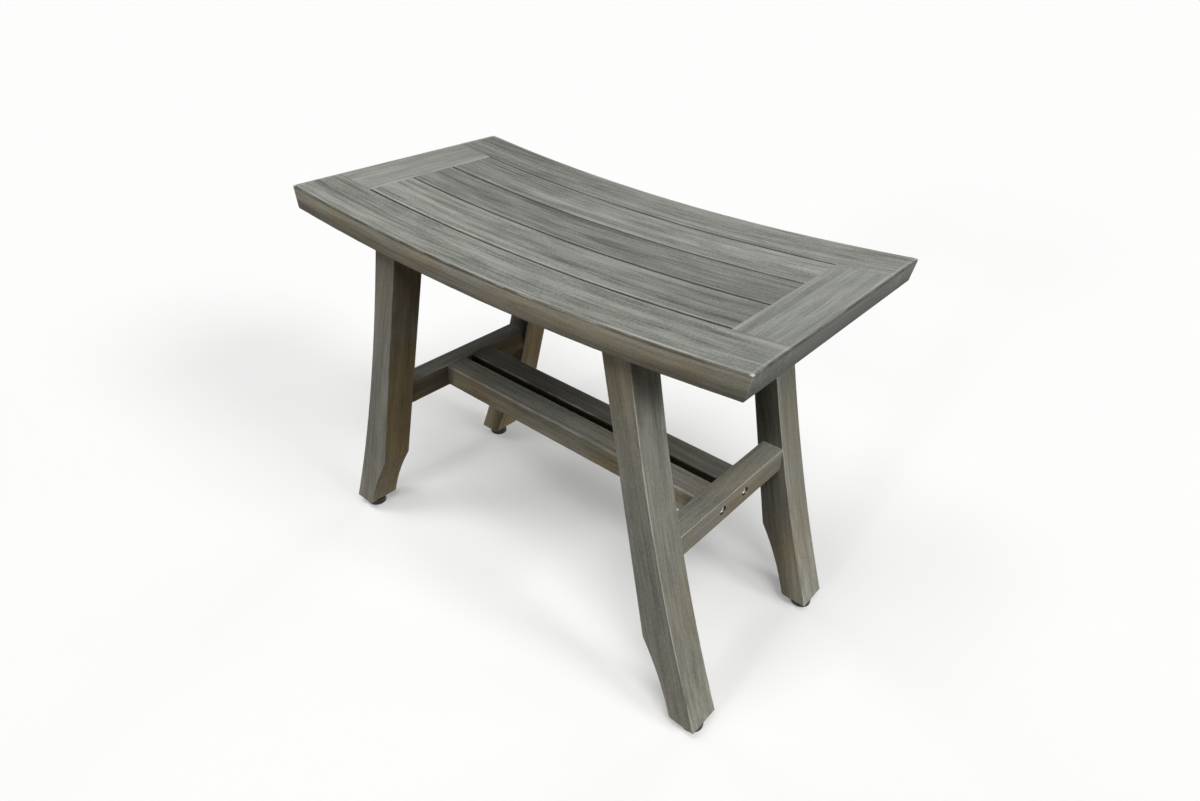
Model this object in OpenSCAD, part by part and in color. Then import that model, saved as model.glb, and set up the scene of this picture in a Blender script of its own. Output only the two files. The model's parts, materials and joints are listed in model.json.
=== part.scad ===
// Shower bench: a dished seat of five boards between end rails, four curved legs that
// splay towards the ends, and a shelf of two slats bolted between the end stretchers.
// Millimetres. +X runs along the seat, +Y points to its back and +Z points up.
// The origin is on the floor, under the middle of the seat.

/* [Overall] */
// Length of the seat
seat_length = 595; // [570:1:620]
// Depth of the seat, front to back
seat_depth = 305; // [295:1:320]
// Height of the seat's corners above the floor
corner_height = 458.3; // [440:0.1:480]

/* [Seat] */
// How far the middle of the seat lies below its ends
seat_dish = 15.1; // [10:0.1:20]
// Thickness of the boards
board_thickness = 25.5; // [24:0.5:28]
// Width of the gap between two boards
board_gap = 1.3; // [0.8:0.1:2.5]
// Width of the end rails
end_rail_width = 57; // [54:0.5:62]
// How far the end faces lean in, from top to bottom
end_lean = 4.5; // [1:0.1:6]
// How far the front and back faces lean in, from top to bottom
side_lean = 0.5; // [0:0.1:2]
// Radius of the seat's long upper arrises
upper_round = 1.2; // [1:0.1:3.5]
// Radius of the seat's upper arrises at the ends
end_upper_round = 1.2; // [1:0.1:3]
// Radius of the seat's long lower arrises
lower_round = 1.5; // [1:0.1:5]
// Radius of the seat's lower arrises at the ends
end_lower_round = 4.5; // [2:0.1:5]
// Radius of the seat's four upright corners
corner_round = 1; // [0.5:0.1:2]
// Radius of the arrises along the gaps
gap_round = 0.5; // [0.3:0.1:1]

/* [Seat joints] */
// Length of the tongue on each end of a slat
tongue_length = 12; // [8:1:14]
// Width of the tongue
tongue_width = 40; // [30:1:44]
// Thickness of the tongue
tongue_thickness = 8.5; // [7:0.5:10]
// Diameter of the dowels in the seat and on the legs
seat_dowel_diameter = 8; // [6:1:8]
// Length of the dowels between end rails and long boards
seat_dowel_length = 36; // [30:1:40]
// Distance of the outer dowels from the seat's end
outer_dowel_inset = 16; // [15:0.5:18]
// Distance between the two dowels of one joint
dowel_spacing = 18; // [14:0.5:18]

/* [Legs] */
// Thickness of the legs, front to back
leg_thickness = 40; // [36:0.5:44]
// Distance of the legs from the seat's front and back
leg_inset = 13.8; // [10:0.1:16]
// Distance of a leg's outer edge from the seat's end, at its top
leg_top_inset = 124.2; // [115:0.1:130]
// Distance of a leg's outer edge from the seat's end, at its foot
leg_foot_inset = 9.8; // [5:0.1:15]
// Width of a leg at its top
leg_top_width = 32; // [31:0.5:36]
// Width of a leg at its knee
leg_knee_width = 43; // [40:0.5:46]
// Width of a leg at its foot
leg_foot_width = 32.8; // [31:0.1:35]
// Height of the knee above the floor
knee_height = 105.5; // [90:0.5:120]
// Hollow of the leg's outer curve, below a straight line
leg_outer_bow = 8.9; // [6:0.1:12]
// Hollow of the scoop between knee and foot
leg_scoop_bow = 3.5; // [2:0.1:5]
// Radius of the leg's long arrises
leg_round = 1.2; // [1:0.1:3]
// Radius of the foot's inner corner
foot_inner_round = 8; // [4:0.5:9]
// Radius of the foot's outer corner
foot_outer_round = 1.5; // [1:0.1:3]

/* [Cross rails] */
// Width of the upper cross rails, under the seat
upper_rail_width = 25; // [22:0.5:26]
// Height of the upper cross rails
upper_rail_height = 28; // [26:0.5:32]
// Width of the end stretchers, at shelf height
stretcher_width = 26.7; // [24:0.1:28]
// Height of the end stretchers
stretcher_height = 29.5; // [27:0.5:32]
// Height of the stretchers' upper face above the floor
stretcher_top = 219.5; // [205:0.5:235]
// Radius of the arrises on stretchers and cross rails
rail_round = 1.2; // [1:0.1:3]
// Thickness of the tenons
tenon_thickness = 12; // [9:0.5:13]
// Length of the tenons
tenon_length = 22; // [18:1:22]
// Height of the wood above and below each tenon
tenon_shoulder = 5; // [4:0.5:6]

/* [Shelf] */
// Width of each shelf slat
shelf_slat_width = 33; // [31:0.5:36]
// Gap between the two shelf slats
shelf_gap = 10; // [8:0.5:14]
// Height of each shelf slat
shelf_slat_height = 29; // [27:0.5:31]
// How far the slats lie below the stretchers' upper face
shelf_drop = 0.5; // [0:0.1:1]
// Radius of the slats' long arrises
shelf_round = 4; // [2:0.1:5]

/* [Shelf bolts] */
// Diameter of the bolts
bolt_diameter = 6; // [5:0.5:6]
// Length of the bolts under the head
bolt_length = 60; // [56:1:62]
// Diameter of the bolt heads
bolt_head_diameter = 10; // [9:0.1:10]
// Height of the bolt heads
bolt_head_height = 6; // [4:0.1:6]
// Diameter of the sunk holes that the heads sit in
counterbore_diameter = 11; // [10.4:0.1:12]
// Depth of the sunk holes
counterbore_depth = 8; // [7:0.5:9]
// Height of the bolts above the stretchers' lower face
bolt_rise = 15; // [13.5:0.1:16]
// Width of the six-sided socket across its flats
socket_across_flats = 5; // [4:0.1:5]
// Depth of the six-sided socket
socket_depth = 3; // [2:0.1:3]
// Diameter of the barrel nuts
barrel_nut_diameter = 10; // [9:0.5:11]
// Length of the barrel nuts
barrel_nut_length = 17; // [14:0.5:18]
// Distance of the barrel nuts from the slats' ends
barrel_nut_inset = 30; // [26:0.5:34]
// Diameter of the dowel beside each bolt
shelf_dowel_diameter = 6; // [5:0.5:6]
// Length of the dowel beside each bolt
shelf_dowel_length = 30; // [24:1:32]
// Distance of that dowel from its bolt
shelf_dowel_offset = 10; // [9.5:0.1:10.5]

/* [Seat fixings] */
// Diameter of the screws that hold the slats down
screw_diameter = 4.5; // [4:0.1:5]
// Length of those screws
screw_length = 42; // [38:1:44]
// Diameter of their countersunk heads
screw_head_diameter = 9; // [8:0.1:10]
// Length of the dowel on top of each leg
leg_dowel_length = 28; // [24:1:30]
// Distance of that dowel from the leg's outer side
leg_dowel_inset = 10; // [9:0.5:11]

/* [Feet] */
// Height of the legs' lower ends above the floor
foot_clearance = 14.5; // [12:0.1:16]
// Distance of the feet from the seat's end
foot_pad_inset = 24.5; // [24:0.1:26]
// Diameter of the foot pads
pad_diameter = 24.2; // [22:0.1:28]
// Height of the round part of the pads
pad_height = 8.5; // [7:0.1:9.5]
// Radius of the pads' arrises
pad_round = 1.2; // [0.5:0.1:2]
// Width across the flats of the collar on each pad
collar_across_flats = 13; // [11:0.5:14]
// Diameter of the studs
stud_diameter = 6; // [5:0.5:6]
// Reach of the studs above the legs' lower ends
stud_reach = 20; // [18:0.5:21]
// How deep the studs sit in the pads, from the floor
stud_bottom = 4; // [3:0.5:5]
// Outer diameter of the threaded inserts
insert_diameter = 10; // [9:0.1:10]
// Diameter of the inserts' flanges
insert_flange_diameter = 12; // [11.5:0.1:13]
// Thickness of the inserts' flanges
insert_flange_thickness = 1.2; // [1:0.1:1.5]
// Length of the inserts
insert_length = 12; // [10:0.5:13]

/* [Fits] */
// Clearance round a glued tenon, tongue or dowel, on each side
glue_clearance = 0.1; // [0.05:0.05:0.2]
// Room left at the bottom of a blind hole or mortise
blind_room = 1; // [0.5:0.1:1.5]
// Clearance round a bolt or screw, on each side
bolt_clearance = 0.25; // [0.2:0.05:0.4]
// Clearance round the stud in its insert, on each side
thread_clearance = 0.05; // [0.03:0.01:0.1]
// Clearance of pieces that are pressed into wood or plastic, on each side
press_clearance = 0.02; // [0.01:0.01:0.05]
// Gap between the seat's underside and what carries it
seat_fit = 0.1; // [0.05:0.05:0.2]
// Gap between a foot's collar and the leg's lower end
foot_fit = 0.2; // [0.1:0.05:0.3]

/* [Hidden] */

// Colours
teak = [0.47, 0.47, 0.44];
beech = [0.76, 0.63, 0.45];
steel = [0.74, 0.74, 0.75];
brass = [0.72, 0.60, 0.33];
black_plastic = [0.07, 0.07, 0.07];

// Facets of a full circle in a preview: for round parts and for the long arcs
round_facets = 48;
arc_facets = 1440;
$fn = round_facets;

// How far a cut runs past the face that it opens
overrun = 1;
// How far the outlines of seat and legs reach past the arcs that trim them
trim_reach = 20;
// Radius of a round's arc as drawn, over the round's own radius
arc_excess = 1.03;
quarter_turn = 90;

function arc_radius(from, to, bow) = (norm(to - from) ^ 2 / 4 + bow ^ 2) / (2 * bow);

// Centre of the arc from one point to another. side is 1 for a centre on the left of the way there
function arc_centre(from, to, bow, side) =
    let (along = (to - from) / norm(to - from))
    (from + to) / 2 + side * (arc_radius(from, to, bow) - bow) * [-along[1], along[0]];

// The seat, seen from the front: X and Z of its arc's axis, and its heights
seat_end = seat_length / 2;
seat_radius = (seat_end ^ 2 + seat_dish ^ 2) / (2 * seat_dish);
seat_axis = [0, corner_height - seat_dish + seat_radius];
under_radius = seat_radius + board_thickness;
board_middle_radius = seat_radius + board_thickness / 2;
board_pitch = seat_depth / 5;
long_board_edge = 1.5 * board_pitch + board_gap / 2;
slat_width = board_pitch - board_gap;
joint_x = seat_end - end_rail_width;
end_lean_angle = atan(end_lean / board_thickness);
end_top = [seat_end, corner_height];
end_down = [-sin(end_lean_angle), -cos(end_lean_angle)];
end_inward = [-cos(end_lean_angle), sin(end_lean_angle)];

function seat_height(radius, x) = seat_axis[1] - sqrt(radius ^ 2 - x ^ 2);

// The legs, seen from the front
leg_outside = seat_depth / 2 - leg_inset;
leg_inside = leg_outside - leg_thickness;
foot_outer = [seat_end - leg_foot_inset, foot_clearance];
top_outer_x = seat_end - leg_top_inset;
top_outer = [top_outer_x, seat_height(under_radius, top_outer_x)];
outer_radius = arc_radius(foot_outer, top_outer, leg_outer_bow);
outer_centre = arc_centre(foot_outer, top_outer, leg_outer_bow, -1);

function leg_outer_x(z) = outer_centre[0] - sqrt(outer_radius ^ 2 - (z - outer_centre[1]) ^ 2);

knee = [leg_outer_x(knee_height) - leg_knee_width, knee_height];
foot_inner = [foot_outer[0] - leg_foot_width, foot_clearance];
top_inner_x = top_outer[0] - leg_top_width;
top_inner = [top_inner_x, seat_height(under_radius, top_inner_x)];
scoop_radius = arc_radius(foot_inner, knee, leg_scoop_bow);
scoop_centre = arc_centre(foot_inner, knee, leg_scoop_bow, 1);
inner_angle = atan2(top_inner[0] - knee[0], top_inner[1] - knee[1]);

function leg_inner_x(z) = knee[0] + (z - knee[1]) * tan(inner_angle);

function leg_middle_x(z) = (leg_outer_x(z) + leg_inner_x(z)) / 2;

// Cross rails
upper_rail_bottom = top_inner[1] - upper_rail_height;
upper_rail_x = leg_middle_x(top_inner[1] - upper_rail_height / 2);
stretcher_x = leg_outer_x(stretcher_top) - stretcher_width / 2;
stretcher_bottom = stretcher_top - stretcher_height;
stretcher_inner_x = stretcher_x - stretcher_width / 2;
stretcher_outer_x = stretcher_x + stretcher_width / 2;

// Shelf
shelf_slat_y = (shelf_gap + shelf_slat_width) / 2;
shelf_slat_bottom = stretcher_top - shelf_drop - shelf_slat_height;
bolt_z = stretcher_bottom + bolt_rise;
bolt_seat_x = stretcher_outer_x - counterbore_depth;
barrel_nut_x = stretcher_inner_x - barrel_nut_inset;

// Feet
foot_x = seat_end - foot_pad_inset;
foot_y = (leg_inside + leg_outside) / 2;
leg_dowel_y = leg_outside - leg_dowel_inset;

// Screws under the seat
screw_head_height = (screw_head_diameter - screw_diameter) / 2;
screw_tip_height = 5;

// ---- Outlines and waste pieces ----

// What a round takes off a corner, given the round's centre and the points where it would touch
// the faces. The arc is drawn a little larger, so that it cuts the faces and never only grazes them
module round_waste(centre, end_a, end_b) {
    radius = norm(end_a - centre);
    past_corner = centre + 2 * (end_a - centre) + 2 * (end_b - centre);
    difference() {
        polygon([centre, end_a, past_corner, end_b]);
        translate(centre)
            circle(radius * arc_excess);
    }
}

// What a round takes off a square corner at the origin, with the material in the first quadrant
module square_round_waste(radius) {
    round_waste([radius, radius], [radius, 0], [0, radius]);
}

// A convex outline with a round of its own on each corner, where 0 leaves the corner sharp
module rounded_outline(points, radii) {
    count = len(points);
    difference() {
        polygon(points);
        for (i = [0 : count - 1]) {
            to_last = points[(i + count - 1) % count] - points[i];
            to_next = points[(i + 1) % count] - points[i];
            a = to_last / norm(to_last);
            b = to_next / norm(to_next);
            half_angle = acos(a * b) / 2;
            reach = radii[i] / tan(half_angle);
            centre = points[i] + (a + b) / norm(a + b) * radii[i] / sin(half_angle);
            if (radii[i] > 0)
                round_waste(centre, points[i] + a * reach, points[i] + b * reach);
        }
    }
}

module rounded_rectangle(size, radius) {
    corners = [[0, 0], [size[0], 0], size, [0, size[1]]];
    translate(-size / 2)
        rounded_outline(corners, [radius, radius, radius, radius]);
}

// ---- Placing ----

// Mirrors what is built at the back right. -1 takes it to the left or to the front
module at_corner(side_x, side_y) {
    mirror([(1 - side_x) / 2, 0, 0])
        mirror([0, (1 - side_y) / 2, 0])
            children();
}

module at_every_corner() {
    for (side_x = [-1, 1], side_y = [-1, 1])
        at_corner(side_x, side_y)
            children();
}

// Raises an outline drawn in X and Z into a solid between two places in Y
module extrude_between(y_from, y_to) {
    translate([0, y_to, 0])
        rotate([quarter_turn, 0, 0])
            linear_extrude(y_to - y_from)
                children();
}

// Sweeps an outline along the seat's arc. Its X is the distance from the arc's axis, its Y the bench's Y
module sweep_along_seat(from_x, to_x) {
    from_angle = asin(from_x / seat_radius);
    to_angle = asin(to_x / seat_radius);
    translate([0, 0, seat_axis[1]])
        rotate([-quarter_turn, quarter_turn, 0])
            rotate([0, 0, -to_angle])
                rotate_extrude(angle = to_angle - from_angle, $fn = arc_facets)
                    children();
}

// A cylinder along Y, centred on a place
module cross_cylinder(place, length, diameter) {
    translate(place)
        rotate([quarter_turn, 0, 0])
            cylinder(h = length, d = diameter, center = true);
}

// A cylinder along X, from a place towards +X
module long_cylinder(place, length, diameter) {
    translate(place)
        rotate([0, quarter_turn, 0])
            cylinder(h = length, d = diameter);
}

// ---- Seat ----

// What the round between the seat's end face and one of its arcs takes off.
// inward is 1 where the wood lies outside that arc, and -1 where it lies inside
module end_round_waste(radius_of_arc, radius, inward) {
    start = end_top + end_inward * radius - seat_axis;
    centre_distance = radius_of_arc + inward * radius;
    slide = sqrt(centre_distance ^ 2 - start * start + (start * end_down) ^ 2) - start * end_down;
    centre = start + end_down * slide;
    translate(seat_axis)
        round_waste(centre, centre * radius_of_arc / norm(centre), centre - end_inward * radius);
}

// What the leaning end face with its rounds leaves over
module seat_end_waste() {
    extrude_between(-seat_depth, seat_depth) {
        polygon([
            end_top - end_down * trim_reach,
            end_top + end_down * (board_thickness + trim_reach),
            end_top + [trim_reach, -board_thickness - trim_reach],
            end_top + [trim_reach, trim_reach]
        ]);
        end_round_waste(seat_radius, end_upper_round, 1);
        end_round_waste(under_radius, end_lower_round, -1);
    }
    for (side = [-1, 1])
        translate([end_top[0], side * seat_depth / 2, end_top[1]])
            rotate([0, end_lean_angle, 0])
                translate([0, 0, -board_thickness - trim_reach])
                    linear_extrude(board_thickness + 2 * trim_reach)
                        mirror([1, 0])
                            mirror([0, (1 + side) / 2])
                                square_round_waste(corner_round);
}

module seat_end_wastes() {
    for (side = [-1, 1])
        at_corner(side, 1)
            seat_end_waste();
}

// The holes for the dowels between the right end rail and the back board
module seat_dowel_places() {
    for (i = [0, 1]) {
        x = seat_end - outer_dowel_inset - i * dowel_spacing;
        translate([x, long_board_edge, seat_height(board_middle_radius, x)])
            children();
    }
}

module seat_dowel(clearance, room) {
    cross_cylinder([0, 0, 0], seat_dowel_length + 2 * room, seat_dowel_diameter + 2 * clearance);
}

// The dowel that locates the back right leg under the seat, or its hole
module leg_dowel(clearance, room) {
    x = leg_middle_x(top_inner[1]);
    height = leg_dowel_length + 2 * room;
    translate([x, leg_dowel_y, seat_height(under_radius, x) - height / 2])
        cylinder(h = height, d = seat_dowel_diameter + 2 * clearance);
}

// The long board at the back; the one at the front is its mirror image
module long_board() {
    back = seat_depth / 2;
    difference() {
        sweep_along_seat(-seat_end - overrun, seat_end + overrun)
            rounded_outline([
                [seat_radius, long_board_edge],
                [seat_radius, back],
                [under_radius, back - side_lean],
                [under_radius, long_board_edge]
            ], [gap_round, upper_round, lower_round, gap_round]);
        seat_end_wastes();
        for (side = [-1, 1])
            at_corner(side, 1) {
                seat_dowel_places()
                    seat_dowel(glue_clearance, blind_room);
                leg_dowel(glue_clearance, blind_room);
            }
    }
}

// The tongue on a slat's right end, or the mortise that takes it
module tongue(clearance, room) {
    root = overrun;
    sweep_along_seat(joint_x - root, joint_x + tongue_length + room)
        translate([board_middle_radius, 0])
            square([tongue_thickness, tongue_width] + 2 * [clearance, clearance], center = true);
}

module end_rail() {
    difference() {
        sweep_along_seat(joint_x, seat_end + overrun)
            translate([board_middle_radius, 0])
                square([board_thickness, 2 * long_board_edge], center = true);
        seat_end_waste();
        for (row = [-1 : 1])
            translate([0, row * board_pitch, 0])
                tongue(glue_clearance, blind_room);
        for (side = [-1, 1])
            at_corner(1, side)
                seat_dowel_places()
                    seat_dowel(glue_clearance, blind_room);
    }
}

module seat_slat(row) {
    difference() {
        translate([0, row * board_pitch, 0]) {
            sweep_along_seat(-joint_x, joint_x)
                translate([board_middle_radius, 0])
                    rounded_rectangle([board_thickness, slat_width], gap_round);
            for (side = [-1, 1])
                at_corner(side, 1)
                    tongue(0, 0);
        }
        for (side = [-1, 1])
            at_corner(side, 1)
                translate([upper_rail_x, row * board_pitch, 0])
                    screw_hole();
    }
}

// ---- Legs and cross rails ----

// The tenon at the back end of a cross rail with this middle, or the mortise that takes it
module tenon(middle_x, bottom, height, clearance, room) {
    width = tenon_thickness + 2 * clearance;
    translate([middle_x - width / 2, leg_inside - overrun, bottom - clearance])
        cube([width, tenon_length + overrun + room, height + 2 * clearance]);
}

module upper_rail_tenon(clearance, room) {
    height = upper_rail_height - 3 * tenon_shoulder;
    tenon(upper_rail_x, upper_rail_bottom + tenon_shoulder, height, clearance, room);
}

module stretcher_tenon(clearance, room) {
    height = stretcher_height - 2 * tenon_shoulder;
    tenon(stretcher_x, stretcher_bottom + tenon_shoulder, height, clearance, room);
}

// What the round between the foot's sole and one of the leg's arcs takes off.
// side is 1 where the arc bulges towards +X, and -1 where it bulges towards -X
module sole_round_waste(centre_of_arc, radius_of_arc, radius, side) {
    rise = foot_clearance + radius - centre_of_arc[1];
    from_arc = [side * sqrt((radius_of_arc + radius) ^ 2 - rise ^ 2), rise];
    centre = centre_of_arc + from_arc;
    on_arc = centre_of_arc + from_arc * radius_of_arc / norm(from_arc);
    round_waste(centre, on_arc, centre - [0, radius]);
}

// The leg seen from the front, in X and Z
module leg_outline() {
    difference() {
        polygon([
            [leg_inner_x(foot_clearance), foot_clearance],
            [foot_outer[0] + trim_reach, foot_clearance],
            [top_outer[0] + trim_reach, corner_height],
            [leg_inner_x(corner_height), corner_height]
        ]);
        translate(outer_centre)
            circle(outer_radius, $fn = arc_facets);
        translate(scoop_centre)
            circle(scoop_radius, $fn = arc_facets);
        translate(seat_axis)
            circle(under_radius + seat_fit, $fn = arc_facets);
        sole_round_waste(scoop_centre, scoop_radius, foot_inner_round, 1);
        sole_round_waste(outer_centre, outer_radius, foot_outer_round, -1);
    }
}

// What the round along an arc of the leg takes off, at both of the leg's faces
module arc_arris_waste(centre_of_arc, radius_of_arc, from, to) {
    past_end = 1;
    from_angle = atan2(from[1] - centre_of_arc[1], from[0] - centre_of_arc[0]) - past_end;
    to_angle = atan2(to[1] - centre_of_arc[1], to[0] - centre_of_arc[0]) + past_end;
    translate([centre_of_arc[0], 0, centre_of_arc[1]])
        rotate([quarter_turn, 0, 0])
            rotate([0, 0, from_angle])
                rotate_extrude(angle = to_angle - from_angle, $fn = arc_facets) {
                    translate([radius_of_arc, -leg_outside])
                        square_round_waste(leg_round);
                    translate([radius_of_arc, -leg_inside])
                        mirror([0, 1])
                            square_round_waste(leg_round);
                }
}

// What the round along the leg's straight inner edge takes off, at both faces
module straight_arris_waste() {
    length = norm(top_inner - knee);
    translate([knee[0], 0, knee[1]])
        rotate([0, inner_angle, 0])
            translate([0, 0, -trim_reach])
                linear_extrude(length + 2 * trim_reach) {
                    translate([0, leg_inside])
                        square_round_waste(leg_round);
                    translate([0, leg_outside])
                        mirror([0, 1])
                            square_round_waste(leg_round);
                }
}

// The leg at the back right; the other three are its mirror images
module leg() {
    difference() {
        extrude_between(leg_inside, leg_outside)
            leg_outline();
        arc_arris_waste(outer_centre, outer_radius, top_outer, foot_outer);
        arc_arris_waste(scoop_centre, scoop_radius, foot_inner, knee);
        straight_arris_waste();
        upper_rail_tenon(glue_clearance, blind_room);
        stretcher_tenon(glue_clearance, blind_room);
        leg_dowel(glue_clearance, blind_room);
        translate([foot_x, foot_y, foot_clearance])
            foot_insert_hole();
    }
}

// The cross rail between the tops of the right legs
module upper_cross_rail() {
    half_width = upper_rail_width / 2;
    top = upper_rail_bottom + upper_rail_height + overrun;
    difference() {
        union() {
            extrude_between(-leg_inside, leg_inside)
                difference() {
                    rounded_outline([
                        [upper_rail_x - half_width, upper_rail_bottom],
                        [upper_rail_x + half_width, upper_rail_bottom],
                        [upper_rail_x + half_width, top + trim_reach],
                        [upper_rail_x - half_width, top + trim_reach]
                    ], [rail_round, rail_round, 0, 0]);
                    translate(seat_axis)
                        circle(under_radius + seat_fit, $fn = arc_facets);
                }
            for (side = [-1, 1])
                at_corner(1, side)
                    upper_rail_tenon(0, 0);
        }
        for (row = [-1 : 1])
            translate([upper_rail_x, row * board_pitch, 0])
                screw_hole();
    }
}

// The stretcher between the right legs, at shelf height
module stretcher() {
    middle_z = stretcher_bottom + stretcher_height / 2;
    difference() {
        union() {
            extrude_between(-leg_inside, leg_inside)
                translate([stretcher_x, middle_z])
                    rounded_rectangle([stretcher_width, stretcher_height], rail_round);
            for (side = [-1, 1])
                at_corner(1, side)
                    stretcher_tenon(0, 0);
        }
        for (side = [-1, 1])
            at_corner(1, side) {
                shelf_bolt_hole();
                shelf_dowel(glue_clearance, blind_room);
            }
    }
}

// ---- Shelf ----

// The shelf slat at the back
module shelf_slat() {
    middle = [shelf_slat_y, shelf_slat_bottom + shelf_slat_height / 2];
    difference() {
        rotate([quarter_turn, 0, quarter_turn])
            linear_extrude(2 * stretcher_inner_x, center = true)
                translate(middle)
                    rounded_rectangle([shelf_slat_width, shelf_slat_height], shelf_round);
        for (side = [-1, 1])
            at_corner(side, 1) {
                shelf_bolt_hole();
                barrel_nut_hole();
                shelf_dowel(glue_clearance, blind_room);
            }
    }
}

// The back right bolt's hole, with the sunk hole for its head
module shelf_bolt_hole() {
    reach = bolt_length + blind_room;
    long_cylinder([bolt_seat_x - reach, shelf_slat_y, bolt_z], reach + overrun,
        bolt_diameter + 2 * bolt_clearance);
    long_cylinder([bolt_seat_x, shelf_slat_y, bolt_z], counterbore_depth + overrun, counterbore_diameter);
}

module shelf_bolt() {
    head_end = bolt_seat_x + bolt_head_height;
    socket_corners = socket_across_flats / cos(180 / 6);
    difference() {
        union() {
            long_cylinder([bolt_seat_x - bolt_length, shelf_slat_y, bolt_z], bolt_length, bolt_diameter);
            long_cylinder([bolt_seat_x, shelf_slat_y, bolt_z], bolt_head_height, bolt_head_diameter);
        }
        translate([head_end - socket_depth, shelf_slat_y, bolt_z])
            rotate([0, quarter_turn, 0])
                cylinder(h = socket_depth + overrun, d = socket_corners, $fn = 6);
    }
}

// The back right barrel nut stands upright in the slat, with the bolt through it
module barrel_nut() {
    slot_width = 1.5;
    slot_depth = 1.5;
    bottom = bolt_z - barrel_nut_length / 2;
    difference() {
        translate([barrel_nut_x, shelf_slat_y, bottom])
            cylinder(h = barrel_nut_length, d = barrel_nut_diameter);
        long_cylinder([barrel_nut_x - barrel_nut_diameter, shelf_slat_y, bolt_z], 2 * barrel_nut_diameter,
            bolt_diameter + 2 * thread_clearance);
        translate([barrel_nut_x - barrel_nut_diameter, shelf_slat_y - slot_width / 2, bottom - overrun])
            cube([2 * barrel_nut_diameter, slot_width, slot_depth + overrun]);
    }
}

// The hole from below that takes the barrel nut
module barrel_nut_hole() {
    top = bolt_z + barrel_nut_length / 2 + press_clearance;
    translate([barrel_nut_x, shelf_slat_y, shelf_slat_bottom - overrun])
        cylinder(h = top - shelf_slat_bottom + overrun, d = barrel_nut_diameter + 2 * press_clearance);
}

// The dowel that keeps the back slat from turning at its right end, or its hole
module shelf_dowel(clearance, room) {
    length = shelf_dowel_length + 2 * room;
    long_cylinder([stretcher_inner_x - length / 2, shelf_slat_y + shelf_dowel_offset, bolt_z], length,
        shelf_dowel_diameter + 2 * clearance);
}

// ---- Screws under the seat ----

module screw_body(diameter, length) {
    translate([0, 0, upper_rail_bottom]) {
        cylinder(h = length - screw_tip_height, d = diameter);
        translate([0, 0, length - screw_tip_height])
            cylinder(h = screw_tip_height, d1 = diameter, d2 = diameter / 4);
    }
}

module screw_hole() {
    clearance = 2 * press_clearance;
    screw_body(screw_diameter + clearance, screw_length + blind_room);
    translate([0, 0, upper_rail_bottom - overrun])
        cylinder(h = overrun, d = screw_head_diameter + clearance);
    translate([0, 0, upper_rail_bottom])
        cylinder(h = screw_head_height, d1 = screw_head_diameter + clearance, d2 = screw_diameter + clearance);
}

module seat_screw() {
    recess_depth = 1.8;
    recess_length = 4.4;
    recess_width = 1;
    difference() {
        union() {
            screw_body(screw_diameter, screw_length);
            translate([0, 0, upper_rail_bottom])
                cylinder(h = screw_head_height, d1 = screw_head_diameter, d2 = screw_diameter);
        }
        for (turn = [0, quarter_turn])
            translate([0, 0, upper_rail_bottom - overrun])
                rotate([0, 0, turn])
                    translate([-recess_length / 2, -recess_width / 2, 0])
                        cube([recess_length, recess_width, recess_depth + overrun]);
    }
}

// ---- Feet ----

// The hole in a leg's sole for the threaded insert and the end of the stud
module foot_insert_hole() {
    clearance = 2 * press_clearance;
    translate([0, 0, -overrun]) {
        cylinder(h = insert_flange_thickness + overrun, d = insert_flange_diameter + clearance);
        cylinder(h = insert_length + overrun, d = insert_diameter + clearance);
        cylinder(h = stud_reach + blind_room + overrun, d = stud_diameter + 2 * bolt_clearance);
    }
}

module foot_insert() {
    difference() {
        union() {
            cylinder(h = insert_flange_thickness, d = insert_flange_diameter);
            cylinder(h = insert_length, d = insert_diameter);
        }
        translate([0, 0, -overrun])
            cylinder(h = insert_length + 2 * overrun, d = stud_diameter + 2 * thread_clearance);
    }
}

module foot_stud() {
    chamfer = 0.8;
    top = foot_clearance + stud_reach;
    translate([foot_x, foot_y, stud_bottom])
        cylinder(h = top - chamfer - stud_bottom, d = stud_diameter);
    translate([foot_x, foot_y, top - chamfer])
        cylinder(h = chamfer, d1 = stud_diameter, d2 = stud_diameter - 2 * chamfer);
}

module foot_pad() {
    radius = pad_diameter / 2;
    collar_corners = collar_across_flats / cos(180 / 6);
    collar_top = foot_clearance - foot_fit;
    translate([foot_x, foot_y, 0])
        difference() {
            union() {
                rotate_extrude()
                    rounded_outline([[0, 0], [radius, 0], [radius, pad_height], [0, pad_height]],
                        [0, pad_round, pad_round, 0]);
                translate([0, 0, pad_height / 2])
                    cylinder(h = collar_top - pad_height / 2, d = collar_corners, $fn = 6);
            }
            translate([0, 0, stud_bottom])
                cylinder(h = foot_clearance, d = stud_diameter + 2 * press_clearance);
        }
}

// ---- Sub-parts ----

module seat_front_rail() {
    color(teak)
        at_corner(1, -1)
            long_board();
}

module seat_back_rail() {
    color(teak)
        long_board();
}

module seat_end_rail_left() {
    color(teak)
        at_corner(-1, 1)
            end_rail();
}

module seat_end_rail_right() {
    color(teak)
        end_rail();
}

module seat_slat_front() {
    color(teak)
        seat_slat(-1);
}

module seat_slat_middle() {
    color(teak)
        seat_slat(0);
}

module seat_slat_back() {
    color(teak)
        seat_slat(1);
}

module upper_cross_rail_left() {
    color(teak)
        at_corner(-1, 1)
            upper_cross_rail();
}

module upper_cross_rail_right() {
    color(teak)
        upper_cross_rail();
}

module leg_front_left() {
    color(teak)
        at_corner(-1, -1)
            leg();
}

module leg_front_right() {
    color(teak)
        at_corner(1, -1)
            leg();
}

module leg_back_left() {
    color(teak)
        at_corner(-1, 1)
            leg();
}

module leg_back_right() {
    color(teak)
        leg();
}

module stretcher_left() {
    color(teak)
        at_corner(-1, 1)
            stretcher();
}

module stretcher_right() {
    color(teak)
        stretcher();
}

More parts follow.
